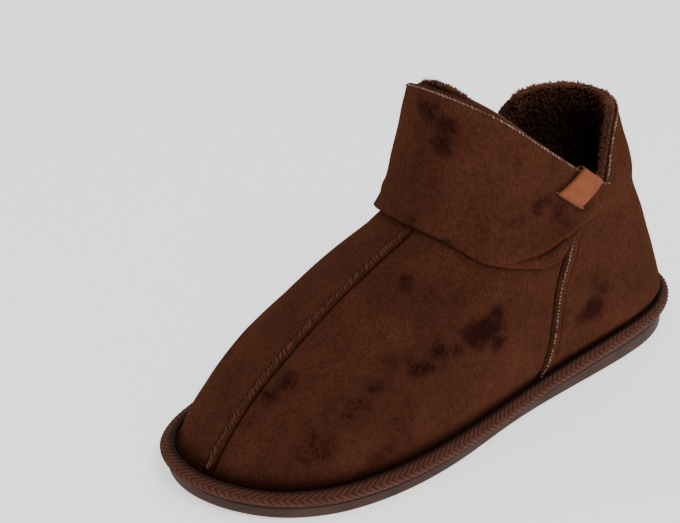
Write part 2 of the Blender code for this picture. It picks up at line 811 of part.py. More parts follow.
def make_tag(material, collection):
    """A strip folded over the cuff's top edge just in front of the notch."""
    middle = TAG_PLACE * LENGTH
    side = 0.5 * ANKLE_WIDTH
    step = 0.25 * TAG_WIDTH
    slope = math.atan2(float(collar(middle + step, side) - collar(middle - step, side)), 2.0 * step)
    lean = slope + TAG_TURN
    inward = -WALL - TAG_GAP
    sections = []
    for i in range(TAG_COLUMNS + 1):
        across = i / TAG_COLUMNS
        top_x = middle + (across - 0.5) * TAG_WIDTH * math.cos(slope)
        top_z = float(collar(top_x, side)) + TAG_LIFT * across

        def place(down, offset):
            x = top_x + down * math.sin(lean)
            z = top_z - down * math.cos(lean)
            return side_point(x, z, offset)

        def face(down, lift):
            x = top_x + down * math.sin(lean)
            z = top_z - down * math.cos(lean)
            return side_point(x, z, cuff_face(x, z) + TAG_GAP + lift)

        fold = -TAG_GAP - TAG_THICKNESS
        under = [face(share * TAG_LENGTH, 0.0) for share in TAG_LEAF_ROWS]
        under += [face(-TAG_GAP, -TAG_EASE), place(-TAG_GAP, inward)]
        under += [place(share * TAG_RETURN, inward) for share in TAG_RETURN_ROWS]
        over = [face(share * TAG_LENGTH, TAG_THICKNESS) for share in TAG_LEAF_ROWS]
        over += [face(fold, TAG_EASE), place(fold, inward - TAG_EASE)]
        over += [place(share * TAG_RETURN, inward - TAG_THICKNESS) for share in TAG_RETURN_ROWS]
        sections.append(np.array(under + over[::-1]))
    return strip_solid("tag", sections, material, collection)


def clear_scene():
    for item in list(bpy.data.objects):
        bpy.data.objects.remove(item, do_unlink=True)


def main():
    clear_scene()
    shoe = new_collection("bootie_slipper")
    cutters = new_collection("cutters")
    make_outsole(new_material("rubber", RUBBER, 0.75), shoe, cutters)
    make_platform(new_material("tape", TAPE, 0.85), shoe)
    make_insole(new_material("fleece", FLEECE, 0.95), shoe)
    make_upper(new_material("suede", SUEDE, 0.90), shoe)
    make_cuff(new_material("suede_cuff", SUEDE, 0.90), shoe)
    make_tag(new_material("tan_leather", LEATHER, 0.60), shoe)


main()
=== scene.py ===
"""Looks of the bootie slipper: suede upper and cuff, plush lining, woven tape, sole, tag, stitches."""

import math

import bmesh
import bpy
import numpy as np
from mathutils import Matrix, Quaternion, Vector

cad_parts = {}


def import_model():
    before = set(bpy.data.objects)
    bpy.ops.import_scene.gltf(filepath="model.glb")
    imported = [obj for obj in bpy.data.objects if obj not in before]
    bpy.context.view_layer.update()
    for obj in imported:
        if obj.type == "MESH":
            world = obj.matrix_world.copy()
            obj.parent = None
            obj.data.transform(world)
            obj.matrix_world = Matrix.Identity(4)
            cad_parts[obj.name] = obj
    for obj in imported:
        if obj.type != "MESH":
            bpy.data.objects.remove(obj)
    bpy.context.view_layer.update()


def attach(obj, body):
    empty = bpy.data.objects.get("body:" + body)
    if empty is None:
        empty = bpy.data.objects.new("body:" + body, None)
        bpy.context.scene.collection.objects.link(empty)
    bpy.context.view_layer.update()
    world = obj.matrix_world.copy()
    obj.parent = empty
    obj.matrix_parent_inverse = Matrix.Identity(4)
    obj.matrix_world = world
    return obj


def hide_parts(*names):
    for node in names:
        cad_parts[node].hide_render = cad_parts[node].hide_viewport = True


# Sole sizes, in metres.
LENGTH = 0.285
BALL_WIDTH = 0.107
HEEL_THICKNESS = 0.0090
WAIST_THICKNESS = 0.0053
FOREFOOT_THICKNESS = 0.0060
ARCH_LIFT = 0.0008
TOE_SPRING = 0.0025
SOLE_EDGE = 0.0010
GROOVE_DEPTH = 0.0012
GROOVE_WIDTH = 0.0030
GROOVE_PITCH = 0.0110
GROOVE_MARGIN = 0.0120

# Platform sizes: the board under the foot and the tape that bulges round its edge.
BOARD_THICKNESS = 0.0030
RAND_HEEL_HEIGHT = 0.0083
RAND_TOE_HEIGHT = 0.0056
RAND_BULGE = 0.0034
LIP_THICKNESS = 0.0020

# Upper sizes. The rises are measured from the top of the board at the heel.
WALL = 0.0030
UPPER_INSET = 0.0028
ANKLE_WIDTH = 0.0880
FRONT_RISE = 0.1433
REAR_RISE = 0.1113
NOTCH_RISE = 0.0868
FRONT_SLANT = 0.070
REAR_SLANT = 0.115
SEAM_WIDTH = 0.0036
SEAM_RAISE = 0.0009
SEAM_FADE = 0.0030
TOE_SEAM_DRIFT = 0.0052
TOE_SEAM_RISE = 0.0320

# Insole sizes.
INSOLE_THICKNESS = 0.0050
INSOLE_BEVEL = 0.0010

# Cuff sizes. Its lower edge is rolled, and its padding thins out to the top edge.
CUFF_THICKNESS = 0.0038
CUFF_HEM_THICKNESS = 0.0026
CUFF_TOP_THICKNESS = 0.0016
CUFF_ROLL = 0.0060
CUFF_HEM_SHARE = 0.14
CUFF_PLUMP_SHARE = 0.35
CUFF_THIN_POWER = 1.5

# Tag sizes. TAG_TURN turns its hanging leaf forward, and TAG_LIFT raises the front end of its fold.
TAG_WIDTH = 0.0162
TAG_LENGTH = 0.0178
TAG_THICKNESS = 0.0010
TAG_RETURN = 0.0080
TAG_PLACE = 0.310
TAG_TURN = math.radians(32.0)
TAG_LIFT = 0.0012
TAG_GAP = 0.0008

# Gaps between the pieces.
GAP = 0.0003
SKIN_GAP = 0.0007
INSOLE_GAP = 0.0012
LIP_GAP = 0.0006

# Outline of the outsole: share of LENGTH from the heel, share of BALL_WIDTH to the outer side.
OUTLINE = (
    # along, out
    (0.000, 0.000),
    (0.055, 0.214),
    (0.170, 0.319),
    (0.400, 0.384),
    (0.660, 0.501),
    (0.840, 0.474),
    (0.950, 0.312),
    (1.000, -0.009),
    (0.966, -0.271),
    (0.870, -0.440),
    (0.690, -0.495),
    (0.430, -0.342),
    (0.170, -0.309),
    (0.055, -0.204),
)

# Underside and thickness of the outsole along its length: share of ARCH_LIFT and of TOE_SPRING, and
# how far the thickness is the heel's or the forefoot's rather than the waist's.
SOLE_PROFILE = (
    # along, arch, spring, heel, forefoot
    (0.00, 0.0, 0.00, 1.00, 0.0),
    (0.13, 0.0, 0.00, 1.00, 0.0),
    (0.26, 0.0, 0.00, 0.68, 0.0),
    (0.34, 0.0, 0.00, 0.34, 0.0),
    (0.50, 1.0, 0.00, 0.00, 0.0),
    (0.64, 0.0, 0.00, 0.00, 0.6),
    (0.84, 0.0, 0.00, 0.00, 1.0),
    (0.92, 0.0, 0.30, 0.00, 1.0),
    (1.00, 0.0, 1.00, 0.00, 1.0),
)

# Level outlines of the upper. rise: share of FRONT_RISE above the board. heel, toe: share of LENGTH.
# half: half width of the oval, share of ANKLE_WIDTH. oval: how far the level has turned from the
# sole's outline into the oval. power: squareness of the oval. twist: sideways swing along the level.
LEVELS = (
    # rise, heel, toe, half, oval, power, twist
    (-0.060, 0.0090, 0.9960, 0.490, 0.00, 2.8, 0.000),
    (0.000, 0.0105, 0.9900, 0.510, 0.04, 3.0, 0.000),
    (0.030, 0.0135, 0.9760, 0.540, 0.12, 3.2, 0.000),
    (0.063, 0.0200, 0.9580, 0.570, 0.26, 3.7, 0.000),
    (0.131, 0.0370, 0.9190, 0.572, 0.38, 3.5, 0.000),
    (0.215, 0.0530, 0.8650, 0.550, 0.47, 3.1, 0.000),
    (0.300, 0.0670, 0.8020, 0.515, 0.62, 2.6, 0.000),
    (0.393, 0.0820, 0.7230, 0.485, 0.82, 2.3, 0.000),
    (0.476, 0.0940, 0.6400, 0.452, 0.95, 2.1, 0.010),
    (0.554, 0.1050, 0.5620, 0.443, 1.00, 2.2, 0.018),
    (0.605, 0.1150, 0.5480, 0.443, 1.00, 2.2, 0.018),
    (0.684, 0.1330, 0.5450, 0.439, 1.00, 2.2, 0.020),
    (0.822, 0.1540, 0.5330, 0.425, 1.00, 2.2, 0.045),
    (1.000, 0.1760, 0.5210, 0.415, 1.00, 2.2, 0.075),
    (1.150, 0.1900, 0.5110, 0.410, 1.00, 2.2, 0.080),
)

# Top edge of the upper between its lowest point at the notch and the front: share of the way
# forward, share of the climb.
COLLAR_FRONT = (
    # along, climb
    (0.00, 0.00),
    (0.06, 0.03),
    (0.27, 0.215),
    (0.54, 0.50),
    (0.81, 0.81),
    (1.00, 1.00),
)

# Top edge between the notch and the back of the heel: share of the way back, share of the climb.
COLLAR_REAR = (
    # along, climb
    (0.00, 0.00),
    (0.04, 0.10),
    (0.15, 0.47),
    (0.38, 0.81),
    (0.70, 0.95),
    (1.00, 1.00),
)
NOTCH_PLACE = 0.260
COLLAR_HEEL = 0.140
COLLAR_TOE = 0.530

# Side seam between the vamp and the heel quarter: share of NOTCH_RISE, share of LENGTH.
SIDE_SEAM = (
    # rise, along
    (-0.10, 0.412),
    (0.10, 0.395),
    (0.24, 0.388),
    (0.52, 0.377),
    (0.70, 0.351),
    (0.84, 0.324),
    (1.00, 0.268),
)

# Lower edge of the cuff: share of LENGTH, share of FRONT_RISE.
CUFF_EDGE = (
    # along, rise
    (0.2250, 0.575),
    (0.2700, 0.530),
    (0.3350, 0.502),
    (0.3620, 0.460),
    (0.3850, 0.424),
    (0.4150, 0.421),
    (0.4450, 0.432),
    (0.4900, 0.451),
    (0.5300, 0.476),
    (0.5600, 0.511),
    (0.5850, 0.557),
)
CUFF_END = 0.2400
CUFF_END_DROP = 0.0060

# Section of the rand: share of RAND_BULGE outward and share of its height. Its shoulder lies halfway
# between a last such point and the outer face of the lip.
RAND_SECTION = (
    # outward, rise
    (0.45, 0.09),
    (0.90, 0.30),
    (1.00, 0.52),
    (0.78, 0.72),
)
SHOULDER_OUTWARD = 0.30
SHOULDER_RISE = 0.91

# Section of the lip against the upper: share of LIP_THICKNESS, share of the rand's height.
LIP_SECTION = (
    # away, rise
    (0.6, 0.99),
    (0.0, 0.93),
)

# Heights between which a lower and an upper edge are looked for, in shares of FRONT_RISE.
BOTTOM_SEARCH = (-0.085, 0.60)
TOP_SEARCH = (0.25, 1.12)

# Steps along half of the outline, and halvings in the search for a height.
DENSE = 720
HALVINGS = 40


# Vectors and curves

def unit(vectors):
    """The vectors at length one."""
    return vectors / np.linalg.norm(vectors, axis=-1, keepdims=True)


def run_along(points):
    """Distance along a line of points, from the first to each of them."""
    return np.concatenate([[0.0], np.cumsum(np.linalg.norm(np.diff(points, axis=0), axis=1))])


def monotone(table, column):
    """A smooth curve through a table's first and given columns that never overshoots its rows."""
    x = np.array([row[0] for row in table], float)
    y = np.array([row[column] for row in table], float)
    step = np.diff(x)
    slope = np.diff(y) / step
    tangent = np.zeros(len(x))
    tangent[0] = slope[0]
    tangent[-1] = slope[-1]
    for i in range(1, len(x) - 1):
        before, after = slope[i - 1], slope[i]
        if before * after > 0.0:
            w1 = 2.0 * step[i] + step[i - 1]
            w2 = step[i] + 2.0 * step[i - 1]
            tangent[i] = (w1 + w2) / (w1 / before + w2 / after)

    def curve(at):
        at = np.clip(np.asarray(at, float), x[0], x[-1])
        i = np.clip(np.searchsorted(x, at, side="right") - 1, 0, len(step) - 1)
        t = (at - x[i]) / step[i]
        return (y[i] * (1 + 2 * t) * (1 - t) ** 2 + tangent[i] * step[i] * t * (1 - t) ** 2
                + y[i + 1] * t * t * (3 - 2 * t) + tangent[i + 1] * step[i] * t * t * (t - 1))

    return curve


def closed_spline(points, count):
    """Points at even steps along a closed cubic spline through the given points."""
    p = np.array(points, float)
    n = len(p)
    gap = np.linalg.norm((np.roll(p, -1, axis=0) - p) * (LENGTH, BALL_WIDTH), axis=1)
    knots = np.concatenate([[0.0], np.cumsum(gap)])
    system = np.zeros((n, n))
    right = np.zeros((n, 2))
    for i in range(n):
        before, after = gap[i - 1], gap[i]
        system[i, i - 1] += before
        system[i, i] += 2.0 * (before + after)
        system[i, (i + 1) % n] += after
        right[i] = 6.0 * ((p[(i + 1) % n] - p[i]) / after - (p[i] - p[i - 1]) / before)
    bend = np.linalg.solve(system, right)
    at = np.linspace(0.0, knots[-1], count, endpoint=False)
    i = np.clip(np.searchsorted(knots, at, side="right") - 1, 0, n - 1)
    j = (i + 1) % n
    h = gap[i][:, None]
    b = (at - knots[i])[:, None]
    a = h - b
    return ((bend[i] * a ** 3 + bend[j] * b ** 3) / (6 * h)
            + (p[i] / h - bend[i] * h / 6) * a + (p[j] / h - bend[j] * h / 6) * b)


# The sole's outline as along(u) and out(u), with u from 0 at the heel round the outer side to the toe
# at u = 1, and back along the inner side to the heel at u = 2.

def split_outline():
    ring = closed_spline(OUTLINE, 4 * DENSE)
    ring = np.roll(ring, -int(np.argmin(ring[:, 0])), axis=0)
    ring = np.vstack([ring, ring[:1]])
    low, high = ring[:, 0].min(), ring[:, 0].max()
    ring[:, 0] = (ring[:, 0] - low) / (high - low)
    toe = int(np.argmax(ring[:, 0]))
    halves = []
    for half, start in ((ring[:toe + 1], 0.0), (ring[toe:], 1.0)):
        run = run_along(half * (LENGTH, BALL_WIDTH))
        halves.append((start + run / run[-1], half))
    u = np.concatenate([halves[0][0], halves[1][0][1:]])
    points = np.vstack([halves[0][1], halves[1][1][1:]])
    return u, points


OUTLINE_U, OUTLINE_POINTS = split_outline()
DENSE_U = np.linspace(0.0, 2.0, 2 * DENSE + 1)
OUTER_HALF = slice(0, DENSE + 1)
INNER_HALF = slice(DENSE, 2 * DENSE + 1)

# The shoe's origin is under the middle of its length and width.
MIDDLE = (0.5 * LENGTH, 0.5 * (OUTLINE_POINTS[:, 1].max() + OUTLINE_POINTS[:, 1].min()) * BALL_WIDTH)


def along(u):
    return np.interp(np.mod(u, 2.0), OUTLINE_U, OUTLINE_POINTS[:, 0])


def out(u):
    return np.interp(np.mod(u, 2.0), OUTLINE_U, OUTLINE_POINTS[:, 1])


def u_at(share, side):
    """The outline's u where its share of the length is the given one, on side 1 (outer) or -1."""
    toe = int(np.argmax(OUTLINE_POINTS[:, 0]))
    if side > 0:
        return np.interp(share, OUTLINE_POINTS[:toe + 1, 0], OUTLINE_U[:toe + 1])
    return np.interp(share, OUTLINE_POINTS[toe:, 0][::-1], OUTLINE_U[toe:][::-1])


def sole_point(u, outward):
    """The outsole's outline in plan, moved outward by a distance square to it."""
    u = np.asarray(u, float)
    step = 1e-3
    here = np.stack([along(u) * LENGTH, out(u) * BALL_WIDTH], axis=-1)
    ahead = np.stack([along(u + step) * LENGTH, out(u + step) * BALL_WIDTH], axis=-1)
    behind = np.stack([along(u - step) * LENGTH, out(u - step) * BALL_WIDTH], axis=-1)
    tangent = unit(ahead - behind)
    normal = np.stack([-tangent[..., 1], tangent[..., 0]], axis=-1)
    return here + normal * np.asarray(outward)[..., None]


# Heights

ARCH, SPRING, HEEL_PART, FOREFOOT_PART = [monotone(SOLE_PROFILE, column) for column in range(1, 5)]


def ground(x):
    """Underside of the outsole."""
    share = x / LENGTH
    return ARCH(share) * ARCH_LIFT + SPRING(share) * TOE_SPRING


def sole_top(x):
    share = x / LENGTH
    return (WAIST_THICKNESS
            + HEEL_PART(share) * (HEEL_THICKNESS - WAIST_THICKNESS)
            + FOREFOOT_PART(share) * (FOREFOOT_THICKNESS - WAIST_THICKNESS)
            + SPRING(share) * TOE_SPRING)


def platform_bottom(x):
    return sole_top(x) + GAP


def board_top(x):
    return platform_bottom(x) + BOARD_THICKNESS


def rand_height(x):
    share = np.clip(x / LENGTH, 0.0, 1.0)
    return RAND_HEEL_HEIGHT + (RAND_TOE_HEIGHT - RAND_HEEL_HEIGHT) * share


def lip_top(x):
    return platform_bottom(x) + rand_height(x)


DATUM = HEEL_THICKNESS + GAP + BOARD_THICKNESS


# The upper's surface

LEVEL_HEEL, LEVEL_TOE, LEVEL_HALF, LEVEL_OVAL, LEVEL_POWER, LEVEL_TWIST = [
    monotone(LEVELS, column) for column in range(1, 7)]


def level_point(u, z):
    """A point of the upper's outer surface on line u at height z."""
    u = np.asarray(u, float)
    rise = (np.asarray(z, float) - DATUM) / FRONT_RISE
    heel = LEVEL_HEEL(rise) * LENGTH
    toe = LEVEL_TOE(rise) * LENGTH
    share = along(u)
    x = heel + (toe - heel) * share
    power = LEVEL_POWER(rise)
    round_part = np.clip(1.0 - np.abs(2.0 * share - 1.0) ** power, 0.0, 1.0) ** (1.0 / power)
    side = np.where(np.mod(u, 2.0) <= 1.0, 1.0, -1.0)
    oval = LEVEL_OVAL(rise)
    y = (1.0 - oval) * out(u) * (BALL_WIDTH - 2.0 * UPPER_INSET)
    y = y + oval * side * LEVEL_HALF(rise) * ANKLE_WIDTH * round_part
    y = y + LEVEL_TWIST(rise) * (x - 0.5 * (heel + toe))
    return np.stack([x, y, np.broadcast_to(z, x.shape)], axis=-1)


def skin(u, z, offset):
    """A point of the surface on line u at height z, moved along the outward normal."""
    u, z, offset = np.broadcast_arrays(np.asarray(u, float), np.asarray(z, float),
                                       np.asarray(offset, float))
    du, dz = 2e-3, 4e-4
    across = level_point(u + du, z) - level_point(u - du, z)
    upward = level_point(u, z + dz) - level_point(u, z - dz)
    normal = unit(np.cross(upward, across))
    return level_point(u, z) + normal * offset[..., None]


def meet(u, height, offset, search):
    """Height parameter where the offset skin's own height equals height(x, y), by halving."""
    low = np.full(np.shape(u), DATUM + search[0] * FRONT_RISE, float)
    high = np.full(np.shape(u), DATUM + search[1] * FRONT_RISE, float)
    for _ in range(HALVINGS):
        middle = 0.5 * (low + high)
        point = skin(u, middle, offset)
        above = point[..., 2] > height(point[..., 0], point[..., 1])
        high = np.where(above, middle, high)
        low = np.where(above, low, middle)
    return 0.5 * (low + high)


FRONT_CLIMB = monotone(COLLAR_FRONT, 1)
REAR_CLIMB = monotone(COLLAR_REAR, 1)


def collar(x, y):
    """Height of the upper's top edge over the place (x, y): lowest at the notch on each side."""
    notch = NOTCH_PLACE * LENGTH
    ahead = (x - notch) / ((COLLAR_TOE - NOTCH_PLACE) * LENGTH)
    back = (notch - x) / ((NOTCH_PLACE - COLLAR_HEEL) * LENGTH)
    climb = np.where(x >= notch, FRONT_CLIMB(ahead), REAR_CLIMB(back))
    peak = np.where(x >= notch, FRONT_RISE + FRONT_SLANT * y, REAR_RISE + REAR_SLANT * y)
    return DATUM + NOTCH_RISE + climb * (peak - NOTCH_RISE)


CUFF_RISE = monotone(CUFF_EDGE, 1)


def cuff_bottom(x, y):
    return DATUM + FRONT_RISE * CUFF_RISE(x / LENGTH)


def cuff_top(x, y):
    """The cuff ends at the collar in front of the notch and steps down just behind it."""
    notch = NOTCH_PLACE * LENGTH
    behind = np.clip((notch - x) / ((NOTCH_PLACE - CUFF_END) * LENGTH), 0.0, 1.0)
    return np.where(x >= notch, collar(x, y), DATUM + NOTCH_RISE - CUFF_END_DROP * behind)


SEAM_PLACE = monotone(SIDE_SEAM, 1)


def seam_x(z):
    return SEAM_PLACE((z - DATUM) / NOTCH_RISE) * LENGTH


def seam_drift(rise):
    """How far the centre seam bends to the outer side as it comes down over the toe."""
    return TOE_SEAM_DRIFT * np.clip(1.0 - rise / TOE_SEAM_RISE, 0.0, 1.0) ** 2


def upper_bottom(x, y):
    return board_top(x) + GAP


def band_limits(offset, bottom, top):
    """Heights of a band's lower and upper edge on the dense lines, for an offset skin."""
    low = meet(DENSE_U, bottom, offset, BOTTOM_SEARCH)
    high = meet(DENSE_U, top, offset, TOP_SEARCH)
    return low, high


def row_heights(u, limits, share):
    """Height on the lines u of the row at a share of the way up a band."""
    low = np.interp(u, DENSE_U, limits[0])
    high = np.interp(u, DENSE_U, limits[1])
    return low + (high - low) * share


UPPER_LIMITS = band_limits(0.0, upper_bottom, collar)


def crossing(points, half, goal):
    """The line u on one half where a dense row of points passes the place goal(z)."""
    apart = points[half, 0] - goal(points[half, 2])
    order = np.argsort(apart)
    return float(np.interp(0.0, apart[order], DENSE_U[half][order]))


def fixed(share):
    """A goal for crossing() at one share of the shoe's length."""
    return lambda z: share * LENGTH


def cuff_offset(share):
    """Outer face of the padded cuff: a rolled lower edge and a thin top edge."""
    roll = math.sin(0.5 * math.pi * min(1.0, share / CUFF_HEM_SHARE))
    full = CUFF_HEM_THICKNESS + (CUFF_THICKNESS - CUFF_HEM_THICKNESS) * roll
    thin = max(0.0, (share - CUFF_PLUMP_SHARE) / (1.0 - CUFF_PLUMP_SHARE)) ** CUFF_THIN_POWER
    return full + (CUFF_TOP_THICKNESS - full) * thin


def side_point(x, z, offset, side=1):
    """A point on one side of the shoe, given by its place in the side view."""
    rise = (z - DATUM) / FRONT_RISE
    heel = LEVEL_HEEL(rise) * LENGTH
    toe = LEVEL_TOE(rise) * LENGTH
    return skin(u_at((x - heel) / (toe - heel), side), z, offset)


# Fine sizes of the dressed upper, in metres. The back grooves are shares of the front one's depth, which
# also sets the shade painted in them,
# LIP_CREASE_SHADE is how dark the shade painted in the crease above the lip is, and EDGE_SHARE is how far
# up the suede begins to turn over its edge.
SUEDE_SKIN = 0.0012
LINING_SKIN = 0.0018
LINING_RISE = 0.0003
LINING_GAP = 0.0002
SEAM_GROOVE = 0.00065
SEAM_GROOVE_WIDTH = 0.00068
SIDE_GROOVE_WIDTH = 0.00090
BACK_GROOVE_WIDTH = 0.00042
SIDE_BAND_SHIFT = 0.0016
SIDE_BAND_HALF = 0.0031
SIDE_BACK_GROOVE = 0.75
CENTRE_BACK_GROOVE = 0.5
LIP_CREASE = 0.0040
LIP_CREASE_DEPTH = 0.0007
LIP_CREASE_SHADE = 0.95
EDGE_SHARE = 0.992
EDGE_TURN = (0.25, 0.75)

# Rows over the lining's rim: lift in shares of LINING_RISE, way in from the suede in shares of its pile.
LINING_RIM = ((1.0, 0.35), (1.35, 0.9), (1.0, 1.5))

# Columns on one half of a seam, in millimetres from its middle and closest at the grooves. The stations
# are those of both halves, in metres.
MILLIMETRE = 0.001
SEAM_HALF = (0.4, 1.0, 1.45, 1.8, 2.1, 2.4, 2.9, 3.6, 4.3, 4.7, 5.0, 5.3, 5.6, 6.2)
SEAM_STATIONS = np.array([-place for place in SEAM_HALF[::-1]] + list(SEAM_HALF)) * MILLIMETRE

# Fine sizes of the cuff: its hem's turn and its fuller inner front. Starts and runs with a Y are metres
# across the shoe, the other ones and the shares are parts of the length or of the way up the cuff.
HEM_DROP = 0.0003
HEM_LIFT = 0.0023
HEM_FRONT_START = 0.41
HEM_FRONT_RUN = 0.09
INNER_BULGE = 0.0029
BULGE_SHARE = 0.16
BULGE_SPREAD = 0.15
LIFT_START_Y = 0.060
LIFT_RUN_Y = 0.045
BULGE_START_Y = -0.002
BULGE_RUN_Y = 0.016
CUFF_TOP_SHARE = 0.55
CUFF_TOP_RISE = 0.0004
CUFF_CREASE_FULL = 0.0012
CUFF_CREASE_START = 0.35
CUFF_END_RUN = 0.010
CUFF_END_FULLNESS = 0.45
CUFF_HALF_RUN = 0.21
CUFF_ROW_POWER = 1.15
HEM_PUFF = 0.5
PUFF_RATE = 6.0
TOP_PUFF = 0.1

# The pile. Lengths are in metres, and places and runs along the shoe in shares of LENGTH. Shade is
# painted on it below the rim and on the insole, and it is shorter along the front of the collar, but for
# the crest at its very front.
PILE_FADE = 0.010
LINING_TIP = 0.25
SHAFT_TIP = 0.10
SHAFT_LOWEST = 0.45
SHAFT_STAND = 0.35
FRONT_START = 0.02
FRONT_LEAST_REACH = 0.0006
FRONT_REACH_RATE = 0.8
RIM_FRONT_RUN = 0.06
RIM_FRONT_DROP = 0.0014
CREST_START = 0.49
CREST_RUN = 0.03
FRONT_SHORTER = 0.65
CREST_LONGER = 1.15
RIM_NEAR = 0.25
RIM_FAR = 1.3
RIM_SPLAY = 0.15
RIM_SPLAY_RATE = 0.8
INSOLE_PILE_START = 0.05
INSOLE_PILE_END = 0.62
INSOLE_PILE_MARGIN = 0.0015
INSOLE_TIP = 0.2
INSOLE_TONE = 0.5

# A tuft, in shares of its length: depth of its root, height and sway of its middle and its tip. Then the
# width of its middle, how much tufts lean, and how much their tone varies.
TUFT_ROOT = 0.15
TUFT_MIDDLE = (0.55, 0.30)
TUFT_TIP = (0.85, 0.75)
TUFT_MIDDLE_WIDTH = 0.42
LEAST_LEAN = 0.35
MOST_LEAN = 1.15
TONE_SPREAD = 0.16
PILE_TONE_SIZE = 0.010
LINING_TONE_SIZE = 0.012

# Tufts: how many, shortest, longest, thinnest, widest and seed.
SHAFT_TUFTS = (19000, 0.0024, 0.0044, 0.0005, 0.0009, 23)
RIM_TUFTS = (8000, 0.0015, 0.0030, 0.0006, 0.0010, 24)
INSOLE_TUFTS = (9000, 0.0030, 0.0048, 0.0007, 0.0012, 25)

# Stitches across a seam: step along it, reach across and along it, rise and radius of the thread. The
# spans say how far above the lip they begin and how far under the cuff they end.
CENTRE_STITCH = (0.00165, 0.0024, 0.00100, 0.00034, 0.00064)
SIDE_STITCH = (0.00165, 0.0008, 0.00050, 0.00036, 0.00042)
SIDE_STITCH_SHIFT = 0.0004
CENTRE_SPAN = (0.0004, 0.002)
SIDE_SPAN = (0.0006, 0.004)
THREAD_END = 0.62
STITCH_SINK = 0.00005
SIDE_STITCH_SINK = 0.00015

# How much these stitches differ: their length, place across and along the line, and slant.
STITCH_LENGTH_SPREAD = 0.22
STITCH_ACROSS_SPREAD = 0.10
STITCH_ALONG_SPREAD = 0.14
STITCH_SLANT_SPREAD = 0.3

# How far off a face the second point lies that gives its normal.
NORMAL_STEP = 0.001

# Stitches along the collar's edge and the needle's line below it on the cuff.
EDGE_PITCH = 0.00205
EDGE_HALF_STEP = 0.00088
EDGE_DROP = 0.00055
EDGE_TILT = 0.00028
EDGE_SINK = 0.0001
EDGE_BULGE_DROP = 0.00050
EDGE_BULGE = 0.00060
EDGE_RADIUS = 0.00040
EDGE_LENGTH_SPREAD = 0.18
EDGE_TILT_SPREAD = 0.45
COLLAR_STATIONS = 600
NEEDLE_DROP = 0.0024
NEEDLE_LIFT = 0.0001
NEEDLE_HALF = 0.00035
NEEDLE_RISE = 0.0002
NEEDLE_RADIUS = 0.00022

# The tag's return behind its leaf, its mesh, its worn rim and the two threads that hold it.
TAG_FOLD = 0.0024
TAG_FOLD_RISE = 1.2 * TAG_GAP + 0.8 * TAG_THICKNESS
TAG_COLUMNS = 22
TAG_ROWS = 24
TAG_FOLD_ROWS = 9
TAG_RETURN_ROWS = 10
TAG_ROW_STEP = 0.0007
TAG_RIM = 0.9
TAG_LEAST_THICKNESS = 0.3
TAG_WEAR = 0.0008
TAG_THREAD_RADIUS = 0.00028
TAG_THREAD_IN = 0.0012
TAG_THREAD_OUT = 0.0011
TAG_THREAD_SINK = 0.0006
TAG_THREAD_RISE = 0.0009
TAG_THREAD_SHIFT = 0.0004

# Seeds of the random draws.
PILE_SEED = 21
SHAFT_SEED = 22
COLLAR_SEED = 61
LINING_TONE_SEED = 13

# Soft waves of a surface: height, width of a feature and seed.
UPPER_WAVES = ((0.00030, 0.022, 3), (0.00012, 0.008, 5))
CUFF_WAVES = ((0.00045, 0.020, 31), (0.00015, 0.007, 32))
LINING_WAVES = ((0.0006, 0.005, 11), (0.0005, 0.0022, 12))

# The nap's darker places: ragged edges, spread, fall-off and stretch along, across and up.
PATCH_WAVES = ((0.40, 0.009, 41), (0.35, 0.004, 42))
PATCH_SPREAD = 1.25
PATCH_POWER = 2.2
PATCH_STRETCH = (0.85, 1.0, 1.1)

# Edges sharper than this stay crisp where a piece asks for it.
SHARP_ANGLE = math.radians(50.0)

# Counts of columns and rows.
QUARTER_FINE = 44
VAMP_FINE = 96
UPPER_FINE_ROWS = 124
LINING_FINE_ROWS = 44
LINING_COLUMNS = 320
LINING_ROWS = 60
CUFF_FINE_COLUMNS = 250
CUFF_FINE_ROWS = 64
CUFF_BACK_ROWS = 17
HEM_TURN_ROWS = 5
SOLE_FINE = 260
INSOLE_FINE = 120
TAPE_FINE = 1780
TAPE_ROWS = 26

# The tape's weave: width of a rib, its lean, the key of the rand's section where it turns, its height.
TAPE_PITCH = 0.0034
TAPE_LEAN = 1.3
TAPE_APEX = 4.0
TAPE_RELIEF = 0.00018
TAPE_FADE_ROWS = 3
RAND_DENSE = 4000

# Shade painted along the tape, under the lip and above the outsole, in shares of its way from the lower
# edge to the lip.
LIP_SHADE_START = 0.69
LIP_SHADE_RUN = 0.13
LOW_SHADE_END = 0.10
LOW_SHADE_RUN = 0.06

# The sole's rounded lower edge, in shares of SOLE_EDGE inward and up. Then its plain side, as shares of
# its height, and the fine line and bead below its top edge.
SOLE_ROUND = ((1.0, 0.0), (0.35, 0.20), (0.05, 0.75))
SOLE_SIDE = (0.2, 0.345, 0.49, 0.635, 0.78)
SOLE_LINE = 0.0004
SOLE_LINE_SHARE = 0.82
SOLE_BEAD = 0.0001
SOLE_BEAD_SHARE = 0.87


# Mesh helpers

def smooth_step(value):
    t = np.clip(value, 0.0, 1.0)
    return t * t * (3.0 - 2.0 * t)


# Odd factors that scatter whole numbers, and the masks that keep 32 and 16 bits of them.
SCATTER = (374761393, 668265263, 1442695041, 974634777)
SCATTER_AGAIN = 1274126177
BITS_32 = 0xFFFFFFFF
BITS_16 = 0xFFFF


def lattice(*place):
    """A repeatable value between -1 and 1 for each lattice corner, given by x, y, z and a seed."""
    code = sum(part * factor for part, factor in zip(place, SCATTER)) & BITS_32
    code = ((code ^ (code >> 13)) * SCATTER_AGAIN) & BITS_32
    code = code ^ (code >> 16)
    return 2.0 * (code & BITS_16) / BITS_16 - 1.0


